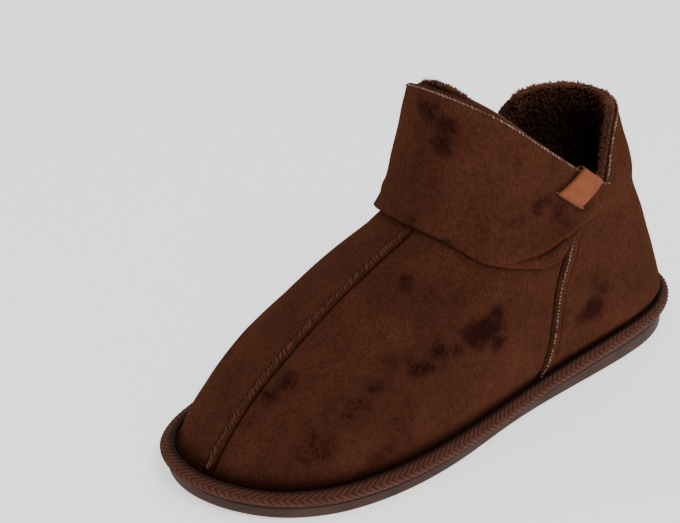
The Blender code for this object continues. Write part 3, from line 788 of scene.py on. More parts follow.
def noise(points, size, seed):
    """Smooth noise between -1 and 1, with features about `size` metres wide."""
    at = points / size
    low = np.floor(at).astype(np.int64)
    t = smooth_step(at - low)
    total = np.zeros(points.shape[:-1])
    for corner in range(8):
        step = np.array([corner & 1, (corner >> 1) & 1, (corner >> 2) & 1])
        weight = np.prod(np.where(step == 1, t, 1.0 - t), axis=-1)
        cell = low + step
        total += weight * lattice(cell[..., 0], cell[..., 1], cell[..., 2], seed)
    return total


def waves(points, table):
    """The sum of some noises, each with its height, the width of its features and its seed."""
    return sum(height * noise(points, width, seed) for height, width, seed in table)


def link(thing):
    bpy.context.scene.collection.objects.link(thing)


def grid_faces(rows, columns, wrap_rows, wrap_columns):
    i = np.arange(rows if wrap_rows else rows - 1)[:, None]
    j = np.arange(columns if wrap_columns else columns - 1)[None, :]
    return np.stack([i * columns + j,
                     i * columns + (j + 1) % columns,
                     ((i + 1) % rows) * columns + (j + 1) % columns,
                     ((i + 1) % rows) * columns + j], axis=-1).reshape(-1, 4)


def new_piece(name, points, faces, material, crisp=False):
    """A mesh piece that rides on the shoe. Points come in the part's own drawing frame."""
    points = np.asarray(points, float).reshape(-1, 3) - (MIDDLE[0], MIDDLE[1], 0.0)
    mesh = bpy.data.meshes.new(name)
    mesh.from_pydata(points.tolist(), [], [list(face) for face in faces])
    piece = bpy.data.objects.new(name, mesh)
    link(piece)
    shape = bmesh.new()
    shape.from_mesh(mesh)
    bmesh.ops.recalc_face_normals(shape, faces=shape.faces)
    shape.to_mesh(mesh)
    shape.free()
    mesh.materials.append(material)
    mesh.shade_smooth()
    if crisp:
        mesh.set_sharp_from_angle(angle=SHARP_ANGLE)
    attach(piece, "root")
    return piece


def set_value(piece, name, values):
    """A named number on each point, for the materials."""
    layer = piece.data.attributes.new(name, "FLOAT", "POINT")
    layer.data.foreach_set("value", np.asarray(values, np.float32).ravel())


def pair_cap(start, half):
    """Faces across a ring of paired columns that begins at a point's number."""
    faces = [(start, start + 1, start + 2 * half - 1)]
    for i in range(1, half - 1):
        faces.append((start + i, start + i + 1, start + 2 * half - i - 1, start + 2 * half - i))
    faces.append((start + half - 1, start + half, start + half + 1))
    return faces


def paired_columns(columns):
    """Lines u in pairs that face each other across the sole, for caps of plain quads."""
    share = 0.5 - 0.5 * np.cos(np.linspace(0.0, math.pi, columns + 1))
    outer = u_at(share, 1)
    inner = u_at(share[1:-1][::-1], -1)
    return np.concatenate([outer, inner])


def capped_piece(name, rings, material, crisp=False):
    """A piece through rings of paired columns, closed at both ends."""
    count = len(rings[0])
    faces = pair_cap(0, count // 2)
    faces += grid_faces(len(rings), count, False, True).tolist()
    faces += pair_cap((len(rings) - 1) * count, count // 2)
    return new_piece(name, np.vstack(rings), faces, material, crisp)


def fold_relief(points, folds):
    """Soft folds: each a ridge or a trough along a line between two places of the shoe's side."""
    troughs = np.zeros(points.shape[:-1])
    ridges = np.zeros(points.shape[:-1])
    for side, x0, z0, x1, z1, width, height in folds:
        start, end = [side_place(side, x, z) for x, z in ((x0, z0), (x1, z1))]
        line = end - start
        share = np.clip(((points - start) @ line) / (line @ line), 0.0, 1.0)
        nearest = start + share[..., None] * line
        away = np.linalg.norm(points - nearest, axis=-1)
        bulge = height * np.exp(-(away / width) ** 2)
        troughs = np.minimum(troughs, bulge)
        ridges = np.maximum(ridges, bulge)
    return troughs + ridges


def side_place(side, along_share, rise_share):
    """A place on the plain upper, by its shares of LENGTH and FRONT_RISE in the side view."""
    return side_point(along_share * LENGTH, DATUM + rise_share * FRONT_RISE, 0.0, side)


# The upper

UPPER_FOLDS = (
    # side, along, rise, along, rise, width, height
    (1, 0.372, 0.46, 0.372, 0.12, 0.0060, -0.0006),
    (1, 0.560, 0.30, 0.470, 0.16, 0.0100, -0.0006),
    (1, 0.700, 0.22, 0.610, 0.10, 0.0090, -0.0005),
    (1, 0.640, 0.28, 0.560, 0.12, 0.0080, 0.0004),
    (1, 0.840, 0.10, 0.930, 0.07, 0.0070, -0.0004),
    (1, 0.130, 0.10, 0.230, 0.14, 0.0090, -0.0006),
    (1, 0.230, 0.42, 0.190, 0.18, 0.0080, -0.0006),
    (-1, 0.520, 0.32, 0.450, 0.14, 0.0100, -0.0006),
    (-1, 0.680, 0.20, 0.600, 0.10, 0.0090, -0.0005),
    (-1, 0.250, 0.40, 0.200, 0.16, 0.0090, -0.0007),
    (-1, 0.120, 0.16, 0.180, 0.08, 0.0080, -0.0005),
)


def seam_marks(share):
    """Lines u of a row, dense on the three seams, and the three seams' place on it."""
    points = level_point(DENSE_U, row_heights(DENSE_U, UPPER_LIMITS, share))
    run = run_along(points)
    outer_seam = np.interp(crossing(points, OUTER_HALF, seam_x), DENSE_U, run)
    inner_seam = np.interp(crossing(points, INNER_HALF, seam_x), DENSE_U, run)
    toe_rise = np.interp(1.0, DENSE_U, points[:, 2]) - DATUM
    toe = np.interp(1.0, DENSE_U, run) - seam_drift(toe_rise)
    edge = SEAM_STATIONS[-1]
    marks = np.concatenate([
        np.linspace(0.0, outer_seam - edge, QUARTER_FINE + 1)[:-1],
        outer_seam + SEAM_STATIONS,
        np.linspace(outer_seam + edge, toe - edge, VAMP_FINE + 1)[1:-1],
        toe + SEAM_STATIONS,
        np.linspace(toe + edge, inner_seam - edge, VAMP_FINE + 1)[1:-1],
        inner_seam + SEAM_STATIONS,
        np.linspace(inner_seam + edge, run[-1], QUARTER_FINE + 1)[1:-1]])
    return np.interp(marks, run, DENSE_U), np.interp([outer_seam, toe, inner_seam], run, DENSE_U)


def seam_relief():
    """Height of the raised seams and depth of the grooves beside them, on every column; the depth also
    sets the shade painted in the grooves.
    """
    bands = []
    depths = []
    side = (SIDE_BAND_SHIFT, SIDE_BAND_HALF, SIDE_GROOVE_WIDTH, SIDE_BACK_GROOVE)
    centre = (0.0, 0.5 * SEAM_WIDTH, SEAM_GROOVE_WIDTH, CENTRE_BACK_GROOVE)
    for ahead, (shift, half, width, far) in ((1.0, side), (-1.0, centre), (-1.0, side)):
        place = ahead * SEAM_STATIONS + shift
        band = SEAM_RAISE * np.clip(1.0 - (np.abs(place) / half) ** 4, 0.0, 1.0)
        front = np.exp(-((place - half - width) / width) ** 2)
        back = np.exp(-((place + half + BACK_GROOVE_WIDTH) / BACK_GROOVE_WIDTH) ** 2)
        depth = front + far * back
        bands.append(band - SEAM_GROOVE * depth)
        depths.append(depth)
    quarter = np.zeros(QUARTER_FINE)
    plain = np.zeros(VAMP_FINE - 1)

    def whole(parts):
        return np.concatenate([quarter, parts[0], plain, parts[1], plain, parts[2], quarter[1:]])

    return whole(bands), np.clip(whole(depths), 0.0, 1.0)


def make_upper(material):
    """The suede of the upper: outside up to the edge, over it and down again one skin further in."""
    relief, grooves = seam_relief()
    rings = []
    bare = []
    crease_shades = []
    seams = []
    for share in np.linspace(0.0, EDGE_SHARE, UPPER_FINE_ROWS):
        u, seam_u = seam_marks(share)
        z = row_heights(u, UPPER_LIMITS, share)
        flat = level_point(u, z)
        free = 1.0 - np.clip((z - cuff_bottom(flat[:, 0], flat[:, 1])) / CUFF_ROLL, 0.0, 1.0)
        over_lip = z - lip_top(flat[:, 0])
        above_lip = smooth_step(over_lip / SEAM_FADE)
        at_lip = np.exp(-(np.maximum(over_lip, 0.0) / LIP_CREASE) ** 2)
        offset = relief * free * above_lip - LIP_CREASE_DEPTH * at_lip
        # Painted shade: the seams' grooves and the crease above the lip are darkened.
        crease_shades.append(np.clip(grooves * free + LIP_CREASE_SHADE * at_lip, 0.0, 1.0))
        offset += fold_relief(flat, UPPER_FOLDS) * above_lip * free
        offset += waves(flat, UPPER_WAVES) * above_lip
        rings.append(skin(u, z, offset))
        bare.append(flat)
        seams.append([(s, float(row_heights(s, UPPER_LIMITS, share))) for s in seam_u])
    u = seam_marks(1.0)[0]
    z = row_heights(u, UPPER_LIMITS, 1.0)
    hidden = [skin(u, z, -inward * SUEDE_SKIN) for inward in EDGE_TURN]
    inside = band_limits(-SUEDE_SKIN, upper_bottom, collar)
    for share in np.linspace(EDGE_SHARE, 0.0, LINING_FINE_ROWS):
        u = seam_marks(share)[0]
        hidden.append(skin(u, row_heights(u, inside, share), -SUEDE_SKIN))
    crease_shades.append(np.zeros(len(hidden) * len(relief)))
    rings += hidden
    piece = new_piece("upper_suede", np.vstack(rings), grid_faces(len(rings), len(relief), True, True),
                      material)
    set_value(piece, "patch", patch_value(np.vstack(bare + hidden), UPPER_PATCHES))
    set_value(piece, "crease", np.concatenate(crease_shades))
    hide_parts("upper")
    return seams


def make_lining(material):
    """The plush lining: a soft sleeve inside the upper that stands a little above its edge."""
    rings = []
    u = np.linspace(0.0, 2.0, LINING_COLUMNS + 1)[:-1]
    shares = np.linspace(0.0, 1.0, LINING_ROWS)
    for share in shares:
        z = row_heights(u, UPPER_LIMITS, share)
        rings.append(skin(u, z, -SUEDE_SKIN - LINING_GAP))
    top = row_heights(u, UPPER_LIMITS, 1.0)
    for lift, inward in LINING_RIM:
        rings.append(skin(u, top + lift * LINING_RISE, -SUEDE_SKIN - inward * LINING_SKIN))
    for share in shares[::-1]:
        z = row_heights(u, UPPER_LIMITS, share)
        fluff = waves(level_point(u, z), LINING_WAVES)
        rings.append(skin(u, z, -SUEDE_SKIN - LINING_GAP - LINING_SKIN + fluff))
    points = np.vstack(rings)
    piece = new_piece("lining", points, grid_faces(len(rings), len(u), True, True), material)
    # Painted shade: the lining lies dark under the tufts and darkens further below the collar's edge.
    set_value(piece, "tip", LINING_TIP * np.exp(-(np.maximum(rim_depth(points), 0.0) / PILE_FADE) ** 2))
    set_value(piece, "tone", 0.5 + 0.5 * noise(points, LINING_TONE_SIZE, LINING_TONE_SEED))


# The pile

UP = np.array([0.0, 0.0, 1.0])


def make_pile(name, roots, normals, lengths, widths, light, seed, material):
    """Curved three-sided tufts, joined in one mesh. light: how bright each tuft's tip is painted, lower
    where shade is painted.
    """
    rng = np.random.default_rng(seed)
    count = len(roots)
    sway = rng.normal(size=(count, 3))
    sway = unit(sway - normals * np.sum(sway * normals, axis=1, keepdims=True))
    side = np.cross(normals, sway)
    angle = rng.uniform(0.0, 2.0 * math.pi, count)
    lean = rng.uniform(LEAST_LEAN, MOST_LEAN, count)[:, None]
    middle, tip = [roots + lengths[:, None] * (height * normals + swing * lean * sway)
                   for height, swing in (TUFT_MIDDLE, TUFT_TIP)]
    points = np.zeros((count, 7, 3))
    for k in range(3):
        turn = angle + k * 2.0 * math.pi / 3.0
        spoke = np.cos(turn)[:, None] * sway + np.sin(turn)[:, None] * side
        points[:, k] = roots - TUFT_ROOT * lengths[:, None] * normals + 0.5 * widths[:, None] * spoke
        points[:, 3 + k] = middle + TUFT_MIDDLE_WIDTH * widths[:, None] * spoke
    points[:, 6] = tip
    base = np.arange(count)[:, None] * 7
    faces = [base + np.array([[2, 1, 0]])]
    for k in range(3):
        n = (k + 1) % 3
        for face in ([k, n, 3 + n], [k, 3 + n, 3 + k], [3 + k, 3 + n, 6]):
            faces.append(base + np.array([face]))
    piece = new_piece(name, points, np.vstack(faces), material)
    # Painted shade: each tuft darkens from its tip down to its root, as shade among the tufts.
    set_value(piece, "tip", np.outer(light, [0.0, 0.0, 0.0, 0.5, 0.5, 0.5, 1.0]))
    tone = 0.5 + 0.5 * noise(roots, PILE_TONE_SIZE, seed) + rng.normal(0.0, TONE_SPREAD, count)
    set_value(piece, "tone", np.repeat(tone, 7))


def shaft_roots(count, seed):
    """Places on the lining's inner face, with their inward normals."""
    rng = np.random.default_rng(seed)
    u = rng.uniform(0.0, 2.0, count)
    share = SHAFT_LOWEST + (1.0 - SHAFT_LOWEST) * rng.uniform(0.0, 1.0, count)
    z = row_heights(u, UPPER_LIMITS, share)
    roots = skin(u, z, -SUEDE_SKIN - LINING_SKIN)
    return roots, unit(skin(u, z, -SUEDE_SKIN - LINING_SKIN - NORMAL_STEP) - roots)


def rim_depth(points):
    """How far below the collar's edge the places are."""
    return collar(points[:, 0], points[:, 1]) - points[:, 2]


def shaft_pile(rng, material):
    """Tufts all over the lining, short at the front edge, where the cuff's top is bare."""
    count, shortest, longest, thinnest, widest, seed = SHAFT_TUFTS
    roots, normals = shaft_roots(count, SHAFT_SEED)
    depth = rim_depth(roots)
    reach = rng.uniform(shortest, longest, count)
    in_front = roots[:, 0] / LENGTH - NOTCH_PLACE > FRONT_START
    short = FRONT_LEAST_REACH + FRONT_REACH_RATE * np.maximum(depth, 0.0)
    reach = np.where(in_front, np.minimum(reach, short), reach)
    # Painted shade: the tufts' tips dim below the collar's edge, deeper in the shoe.
    light = SHAFT_TIP + (1.0 - SHAFT_TIP) * np.exp(-(depth / PILE_FADE) ** 2)
    make_pile("pile_shaft", roots, unit(normals + SHAFT_STAND * UP), reach,
              rng.uniform(thinnest, widest, count), light, seed, material)


def collar_pile(rng, material):
    """Tufts on the lining's rim, low along the front edge but for its crest."""
    count, shortest, longest, thinnest, widest, seed = RIM_TUFTS
    u = rng.uniform(0.0, 2.0, count)
    z = row_heights(u, UPPER_LIMITS, 1.0) + LINING_RISE
    inward = rng.uniform(RIM_NEAR, RIM_FAR, count)
    roots = skin(u, z, -SUEDE_SKIN - inward * LINING_SKIN)
    front = smooth_step((roots[:, 0] / LENGTH - NOTCH_PLACE) / RIM_FRONT_RUN)
    crest = smooth_step((roots[:, 0] / LENGTH - CREST_START) / CREST_RUN)
    out_way = unit(skin(u, z, NORMAL_STEP) - skin(u, z, 0.0))
    normals = unit(UP - (RIM_SPLAY + RIM_SPLAY_RATE * inward)[:, None] * out_way)
    reach = rng.uniform(shortest, longest, count)
    reach = reach * (1.0 - FRONT_SHORTER * front + CREST_LONGER * front * crest)
    roots = roots - (RIM_FRONT_DROP * front * (1.0 - crest))[:, None] * UP
    make_pile("pile_collar", roots, normals, reach, rng.uniform(thinnest, widest, count),
              np.ones(count), seed, material)


def insole_pile(rng, material):
    """Tufts on the part of the insole that shows through the collar."""
    count, shortest, longest, thinnest, widest, seed = INSOLE_TUFTS
    x = rng.uniform(INSOLE_PILE_START, INSOLE_PILE_END, count) * LENGTH
    inside = -WALL - INSOLE_GAP
    edge = skin(DENSE_U, meet(DENSE_U, insole_top, inside, BOTTOM_SEARCH), inside - INSOLE_PILE_MARGIN)
    high = np.interp(x, edge[OUTER_HALF, 0], edge[OUTER_HALF, 1])
    low = np.interp(x, edge[INNER_HALF, 0][::-1], edge[INNER_HALF, 1][::-1])
    y = low + (high - low) * rng.uniform(0.0, 1.0, count)
    roots = np.column_stack([x, y, insole_top(x, y)])
    # Painted shade: the insole's tufts are half as bright, deep in the shoe.
    make_pile("pile_insole", roots, np.tile(UP, (count, 1)), rng.uniform(shortest, longest, count),
              rng.uniform(thinnest, widest, count), np.full(count, 0.5), seed, material)


def make_piles(material):
    rng = np.random.default_rng(PILE_SEED)
    for pile in (shaft_pile, collar_pile, insole_pile):
        pile(rng, material)


# The cuff

CUFF_FOLDS = (
    # side, along, rise, along, rise, width, height
    (1, 0.470, 0.462, 0.428, 0.462, 0.0011, -0.0011),
    (1, 0.428, 0.462, 0.404, 0.470, 0.0011, -0.0017),
    (1, 0.404, 0.470, 0.372, 0.488, 0.0011, -0.0018),
    (1, 0.372, 0.488, 0.345, 0.506, 0.0012, -0.0012),
    (1, 0.430, 0.478, 0.350, 0.515, 0.0024, 0.0008),
    (1, 0.424, 0.446, 0.392, 0.452, 0.0007, -0.0007),
    (1, 0.416, 0.432, 0.380, 0.440, 0.0007, -0.0006),
    (1, 0.404, 0.520, 0.352, 0.540, 0.0014, -0.0005),
    (1, 0.370, 0.560, 0.300, 0.600, 0.0028, -0.0005),
    (1, 0.520, 0.640, 0.470, 0.600, 0.0050, -0.0005),
    (1, 0.560, 0.700, 0.545, 0.880, 0.0070, -0.0006),
    (-1, 0.470, 0.462, 0.404, 0.470, 0.0012, -0.0013),
    (-1, 0.404, 0.470, 0.345, 0.506, 0.0012, -0.0015),
    (-1, 0.430, 0.480, 0.350, 0.517, 0.0026, 0.0008),
    (-1, 0.420, 0.438, 0.385, 0.446, 0.0008, -0.0006),
    (-1, 0.500, 0.620, 0.440, 0.700, 0.0060, -0.0006),
)


def cuff_columns(limits, share):
    """Lines u of a row of the cuff, at even steps from its outer end to its inner one."""
    points = level_point(DENSE_U, row_heights(DENSE_U, limits, share))
    run = run_along(points)
    ends = [np.interp(crossing(points, half, fixed(CUFF_END)), DENSE_U, run)
            for half in (OUTER_HALF, INNER_HALF)]
    return np.interp(np.linspace(*ends, CUFF_FINE_COLUMNS), run, DENSE_U)


def make_cuff(material):
    """The padded cuff: round its rolled hem, up its outside with the folds, and down its back."""
    limits = band_limits(0.0, cuff_bottom, cuff_top)
    count = CUFF_FINE_COLUMNS
    place = np.linspace(0.0, 1.0, count)
    ends = smooth_step(np.minimum(place, 1.0 - place) * CUFF_HALF_RUN / CUFF_END_RUN)
    fullness = CUFF_END_FULLNESS + (1.0 - CUFF_END_FULLNESS) * ends
    hem = CUFF_HEM_THICKNESS
    rows = []
    bare = []
    crease_shades = []

    def row(share, thickness, drop, puff):
        u = cuff_columns(limits, share)
        z = row_heights(u, limits, share)
        flat = level_point(u, z)
        ahead = smooth_step((flat[:, 0] / LENGTH - HEM_FRONT_START) / HEM_FRONT_RUN)
        inner_way = smooth_step((LIFT_START_Y - flat[:, 1]) / LIFT_RUN_Y)
        z = z - drop + HEM_LIFT * ahead * inner_way * (1.0 - share) ** 4
        flat = level_point(u, z)
        folds = fold_relief(flat, CUFF_FOLDS)
        bulge = smooth_step((BULGE_START_Y - flat[:, 1]) / BULGE_RUN_Y) * ahead
        bulge = bulge * min(1.0, thickness / hem)
        offset = SKIN_GAP + thickness * fullness
        offset = offset + INNER_BULGE * bulge * math.exp(-((share - BULGE_SHARE) / BULGE_SPREAD) ** 2)
        offset = offset + puff * (folds * ends + waves(flat, CUFF_WAVES))
        rows.append(skin(u, z, offset))
        bare.append(flat)
        # Painted shade in the troughs of the folds: the deeper the fold, the darker.
        depth = -folds / CUFF_CREASE_FULL - CUFF_CREASE_START
        crease_shades.append(np.clip(depth, 0.0, 1.0) * (puff > 0.0))

    for i in range(2 * HEM_TURN_ROWS):
        angle = 0.5 * math.pi * i / HEM_TURN_ROWS
        puff = 0.0 if i < HEM_TURN_ROWS else HEM_PUFF
        row(0.0, 0.5 * hem * (1.0 - math.cos(angle)), HEM_DROP * math.sin(angle), puff)
    for share in np.linspace(0.0, 1.0, CUFF_FINE_ROWS) ** CUFF_ROW_POWER:
        low_puff = min(1.0, HEM_PUFF + share * PUFF_RATE)
        puff = low_puff * min(1.0, (1.0 - share) * PUFF_RATE + TOP_PUFF)
        row(share, cuff_offset(share), 0.0, puff)
    row(1.0, CUFF_TOP_SHARE * CUFF_TOP_THICKNESS, -CUFF_TOP_RISE, 0.0)
    for share in np.linspace(1.0, 0.0, CUFF_BACK_ROWS + 1)[:-1]:
        row(share, 0.0, 0.0, 0.0)
    faces = grid_faces(len(rows), count, True, False).tolist()
    faces += [[i * count + end for i in range(len(rows))] for end in (0, count - 1)]
    piece = new_piece("cuff_padded", np.vstack(rows), faces, material)
    set_value(piece, "patch", patch_value(np.vstack(bare), CUFF_PATCHES))
    set_value(piece, "crease", np.concatenate(crease_shades))
    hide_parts("cuff")


# The nap's darker brushed places. Size is in metres, depth is how dark they are.

UPPER_PATCHES = (
    # side, along, rise, size, depth
    (1, 0.527, 0.345, 0.0045, 0.80),
    (1, 0.543, 0.303, 0.0068, 1.00),
    (1, 0.575, 0.302, 0.0052, 0.85),
    (1, 0.524, 0.248, 0.0050, 0.80),
    (1, 0.612, 0.285, 0.0045, 0.55),
    (1, 0.645, 0.296, 0.0052, 0.75),
    (1, 0.677, 0.269, 0.0050, 0.70),
    (1, 0.695, 0.300, 0.0040, 0.50),
    (1, 0.712, 0.300, 0.0040, 0.45),
    (1, 0.759, 0.244, 0.0050, 0.55),
    (1, 0.643, 0.444, 0.0042, 0.55),
    (1, 0.629, 0.464, 0.0032, 0.60),
    (1, 0.845, 0.240, 0.0058, 0.65),
    (1, 0.874, 0.200, 0.0060, 0.55),
    (1, 0.905, 0.152, 0.0055, 0.50),
    (1, 0.860, 0.130, 0.0110, 0.50),
    (1, 0.800, 0.190, 0.0110, 0.48),
    (1, 0.740, 0.120, 0.0110, 0.45),
    (1, 0.690, 0.180, 0.0090, 0.42),
    (1, 0.288, 0.193, 0.0075, 0.90),
    (1, 0.262, 0.235, 0.0060, 0.70),
    (1, 0.300, 0.290, 0.0060, 0.45),
    (1, 0.196, 0.250, 0.0045, 0.50),
    (1, 0.165, 0.175, 0.0055, 0.55),
    (1, 0.150, 0.345, 0.0045, 0.40),
    (-1, 0.600, 0.280, 0.0075, 0.90),
    (-1, 0.640, 0.240, 0.0060, 0.65),
    (-1, 0.720, 0.180, 0.0065, 0.60),
    (-1, 0.500, 0.180, 0.0075, 0.60),
    (-1, 0.250, 0.260, 0.0075, 0.85),
    (-1, 0.200, 0.400, 0.0060, 0.55),
    (-1, 0.820, 0.200, 0.0070, 0.55),
)

CUFF_PATCHES = (
    # side, along, rise, size, depth
    (1, 0.526, 0.925, 0.0058, 0.80),
    (1, 0.524, 0.901, 0.0060, 0.85),
    (1, 0.528, 0.843, 0.0058, 0.80),
    (1, 0.418, 0.626, 0.0080, 0.50),
    (1, 0.450, 0.600, 0.0040, 0.55),
    (1, 0.555, 0.527, 0.0030, 0.50),
    (1, 0.558, 0.564, 0.0045, 0.40),
    (1, 0.388, 0.590, 0.0070, 0.60),
    (1, 0.340, 0.580, 0.0060, 0.50),
    (-1, 0.450, 0.720, 0.0085, 0.80),
    (-1, 0.360, 0.600, 0.0070, 0.55),
)


def patch_value(points, patches):
    """How far the nap is brushed the other way at each point, from 0 to 1."""
    total = np.zeros(len(points))
    ragged = PATCH_SPREAD * (1.0 + waves(points, PATCH_WAVES))
    for side, x, z, size, depth in patches:
        distance = np.linalg.norm((points - side_place(side, x, z)) * PATCH_STRETCH, axis=1)
        total = np.maximum(total, depth * np.exp(-(distance / (size * ragged)) ** PATCH_POWER))
    return total


# Rand, outsole and insole

def met_skin(u, height, offset):
    """Places on the lines u where an offset skin meets a height over the ground plan."""
    return skin(u, np.interp(u, DENSE_U, meet(DENSE_U, height, offset, BOTTOM_SEARCH)), offset)


def rand_keys(u):
    """Key rows of the rand's section, from its lower inner edge round its bulge to the lip."""
    def side(outward, share):
        plan = sole_point(u, np.full(u.shape, outward * RAND_BULGE))
        return np.column_stack([plan, platform_bottom(plan[:, 0]) + share * rand_height(plan[:, 0])])

    def lip(share, away):
        return met_skin(u, lambda x, y: platform_bottom(x) + share * rand_height(x),
                        LIP_GAP + away * LIP_THICKNESS)

    keys = [side(-SOLE_EDGE / RAND_BULGE, 0.0)] + [side(*place) for place in RAND_SECTION]
    keys.append(0.5 * (side(SHOULDER_OUTWARD, SHOULDER_RISE) + lip(SHOULDER_RISE, 1.0)))
    keys += [lip(rise, away) for away, rise in LIP_SECTION]
    return np.array(keys)


def key_spline(keys, count):
    """Rows at even steps along a smooth curve through key rows."""
    rows = []
    for t in np.linspace(0.0, len(keys) - 1.0, count + 1):
        i = min(int(t), len(keys) - 2)
        f = t - i
        before = keys[max(i - 1, 0)]
        after = keys[min(i + 2, len(keys) - 1)]
        a, b = keys[i], keys[i + 1]
        rows.append(0.5 * ((2 * a) + (b - before) * f + (2 * before - 5 * a + 4 * b - after) * f * f
                           + (3 * a - before - 3 * b + after) * f ** 3))
    return np.array(rows)


def tape_relief(rows, phase):
    """Shift of the rand's rows by the tape's ribs, which fade at its lower edge and end at the lip."""
    relief = TAPE_RELIEF * np.cos(2.0 * math.pi * phase)
    relief *= smooth_step(np.arange(len(rows)) / TAPE_FADE_ROWS)[:, None]
    relief[-2:] = 0.0
    along_way = np.roll(rows, -1, axis=1) - np.roll(rows, 1, axis=1)
    normal = unit(np.cross(along_way, np.gradient(rows, axis=0)))
    outward = rows - rows.mean(axis=1, keepdims=True)
    flip = np.sign(np.sum(normal * outward, axis=2, keepdims=True).mean())
    return flip * normal * relief[..., None]


def drawn_in(ring):
    """The ring with each point moved a tenth of its way to the middle in plan."""
    return ring * (0.9, 0.9, 1.0) + ring.mean(axis=0) * (0.1, 0.1, 0.0)


def set_tape_uv(mesh, places, turns):
    """Writes the weave's places as UV, and carries them on where the tape has gone round."""
    loops = np.zeros(len(mesh.loops), np.int32)
    mesh.loops.foreach_get("vertex_index", loops)
    uv = places[loops]
    starts = np.zeros(len(mesh.polygons), np.int32)
    sizes = np.zeros(len(mesh.polygons), np.int32)
    mesh.polygons.foreach_get("loop_start", starts)
    mesh.polygons.foreach_get("loop_total", sizes)
    quads = starts[sizes == 4][:, None] + np.arange(4)
    way = uv[quads, 0]
    wraps = way.max(axis=1) - way.min(axis=1) > 0.5 * turns
    uv[quads, 0] = np.where((way < 0.5 * turns) & wraps[:, None], way + turns, way)
    mesh.uv_layers.new(name="tape").data.foreach_set("uv", uv.astype(np.float32).ravel())


def make_rand(material):
    """The rand: a rolled edge in woven tape, closed below and by the board under the foot."""
    dense = np.linspace(0.0, 2.0, RAND_DENSE + 1)
    run = run_along(sole_point(dense, np.full(dense.shape, RAND_BULGE)))
    count = TAPE_FINE
    at = np.linspace(0.0, run[-1], count, endpoint=False)
    u = np.interp(at, run, dense)
    turns = round(run[-1] / TAPE_PITCH)
    pitch = run[-1] / turns
    keys = rand_keys(u)
    rows = key_spline(keys, TAPE_ROWS)
    steps = np.cumsum(np.linalg.norm(np.diff(rows, axis=0), axis=2), axis=0)
    across = np.concatenate([np.zeros((1, count)), steps])
    away = across - across[round(TAPE_APEX / (len(keys) - 1.0) * TAPE_ROWS)]
    rows = rows + tape_relief(rows, (at + TAPE_LEAN * np.abs(away)) / pitch)
    board_edge = met_skin(u, lambda x, y: board_top(x), LIP_GAP)
    rings = [drawn_in(rows[0]), *rows, board_edge, drawn_in(board_edge)]
    last = (len(rings) - 1) * count
    faces = grid_faces(len(rings), count, False, True).tolist()
    faces += [list(range(count)), list(range(last, last + count))]
    piece = new_piece("rand_tape", np.vstack(rings), faces, material)
    places = np.zeros((len(rings), count, 2))
    places[..., 0] = at / pitch
    places[1:-2, :, 1] = away / pitch
    set_tape_uv(piece.data, places.reshape(-1, 2), turns)
    # Painted shade: the tape darkens towards the lip, where it tucks under the upper, and at its lower
    # edge; its closing rings are fully shaded.
    height = np.linspace(0.0, 1.0, TAPE_ROWS + 1)
    shade = smooth_step((height - LIP_SHADE_START) / LIP_SHADE_RUN)
    shade = np.clip(shade + smooth_step((LOW_SHADE_END - height) / LOW_SHADE_RUN), 0.0, 1.0)
    set_value(piece, "crease", np.repeat(np.concatenate([[1.0], shade, [1.0, 1.0]]), count))
    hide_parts("platform")


def make_outsole(material):
    """The rubber sole, with rounded edges, a fine line above its side and tread grooves underneath."""
    u = paired_columns(SOLE_FINE)

    def ring(outward, height, lift=0.0):
        plan = sole_point(u, np.full(u.shape, outward))
        return np.column_stack([plan, height(plan[:, 0]) + lift])

    def between(outward, share):
        return ring(outward, ground) * (1.0 - share) + ring(outward, sole_top) * share

    rings = [ring(-inward * SOLE_EDGE, ground, rise * SOLE_EDGE) for inward, rise in SOLE_ROUND]
    rings += [between(0.0, share) for share in SOLE_SIDE]
    rings += [between(-SOLE_LINE, SOLE_LINE_SHARE), between(SOLE_BEAD, SOLE_BEAD_SHARE),
              ring(SOLE_BEAD, sole_top, -SOLE_LINE), ring(-SOLE_LINE, sole_top)]
    piece = capped_piece("outsole_rubber", rings, material, crisp=True)
    cut_tread(piece)
    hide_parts("outsole")


def cut_tread(piece):
    """Cuts the cross grooves of the tread into the sole."""
    shape = bmesh.new()
    total = int((LENGTH - 2.0 * GROOVE_MARGIN) // GROOVE_PITCH)
    start = 0.5 * (LENGTH - (total - 1) * GROOVE_PITCH)
    for i in range(total):
        x = start + i * GROOVE_PITCH
        outer = out(u_at(x / LENGTH, 1)) * BALL_WIDTH - GROOVE_MARGIN
        inner = out(u_at(x / LENGTH, -1)) * BALL_WIDTH + GROOVE_MARGIN
        bar = bmesh.ops.create_cube(shape, size=1.0)["verts"]
        size = (GROOVE_WIDTH, outer - inner, 2.0 * (GROOVE_DEPTH + float(ground(x))))
        bmesh.ops.scale(shape, vec=size, verts=bar)
        middle = (x - MIDDLE[0], 0.5 * (outer + inner) - MIDDLE[1], 0.0)
        bmesh.ops.translate(shape, vec=middle, verts=bar)
    mesh = bpy.data.meshes.new("tread_bars")
    shape.to_mesh(mesh)
    shape.free()
    bars = bpy.data.objects.new("tread_bars", mesh)
    link(bars)
    cut = piece.modifiers.new("tread", "BOOLEAN")
    cut.operation = "DIFFERENCE"
    cut.solver = "EXACT"
    cut.object = bars
    bpy.context.view_layer.update()
    graph = bpy.context.evaluated_depsgraph_get()
    done = bpy.data.meshes.new_from_object(piece.evaluated_get(graph))
    piece.modifiers.clear()
    piece.data = done
    bpy.data.objects.remove(bars, do_unlink=True)


def insole_top(x, y):
    return board_top(x) + GAP + INSOLE_THICKNESS


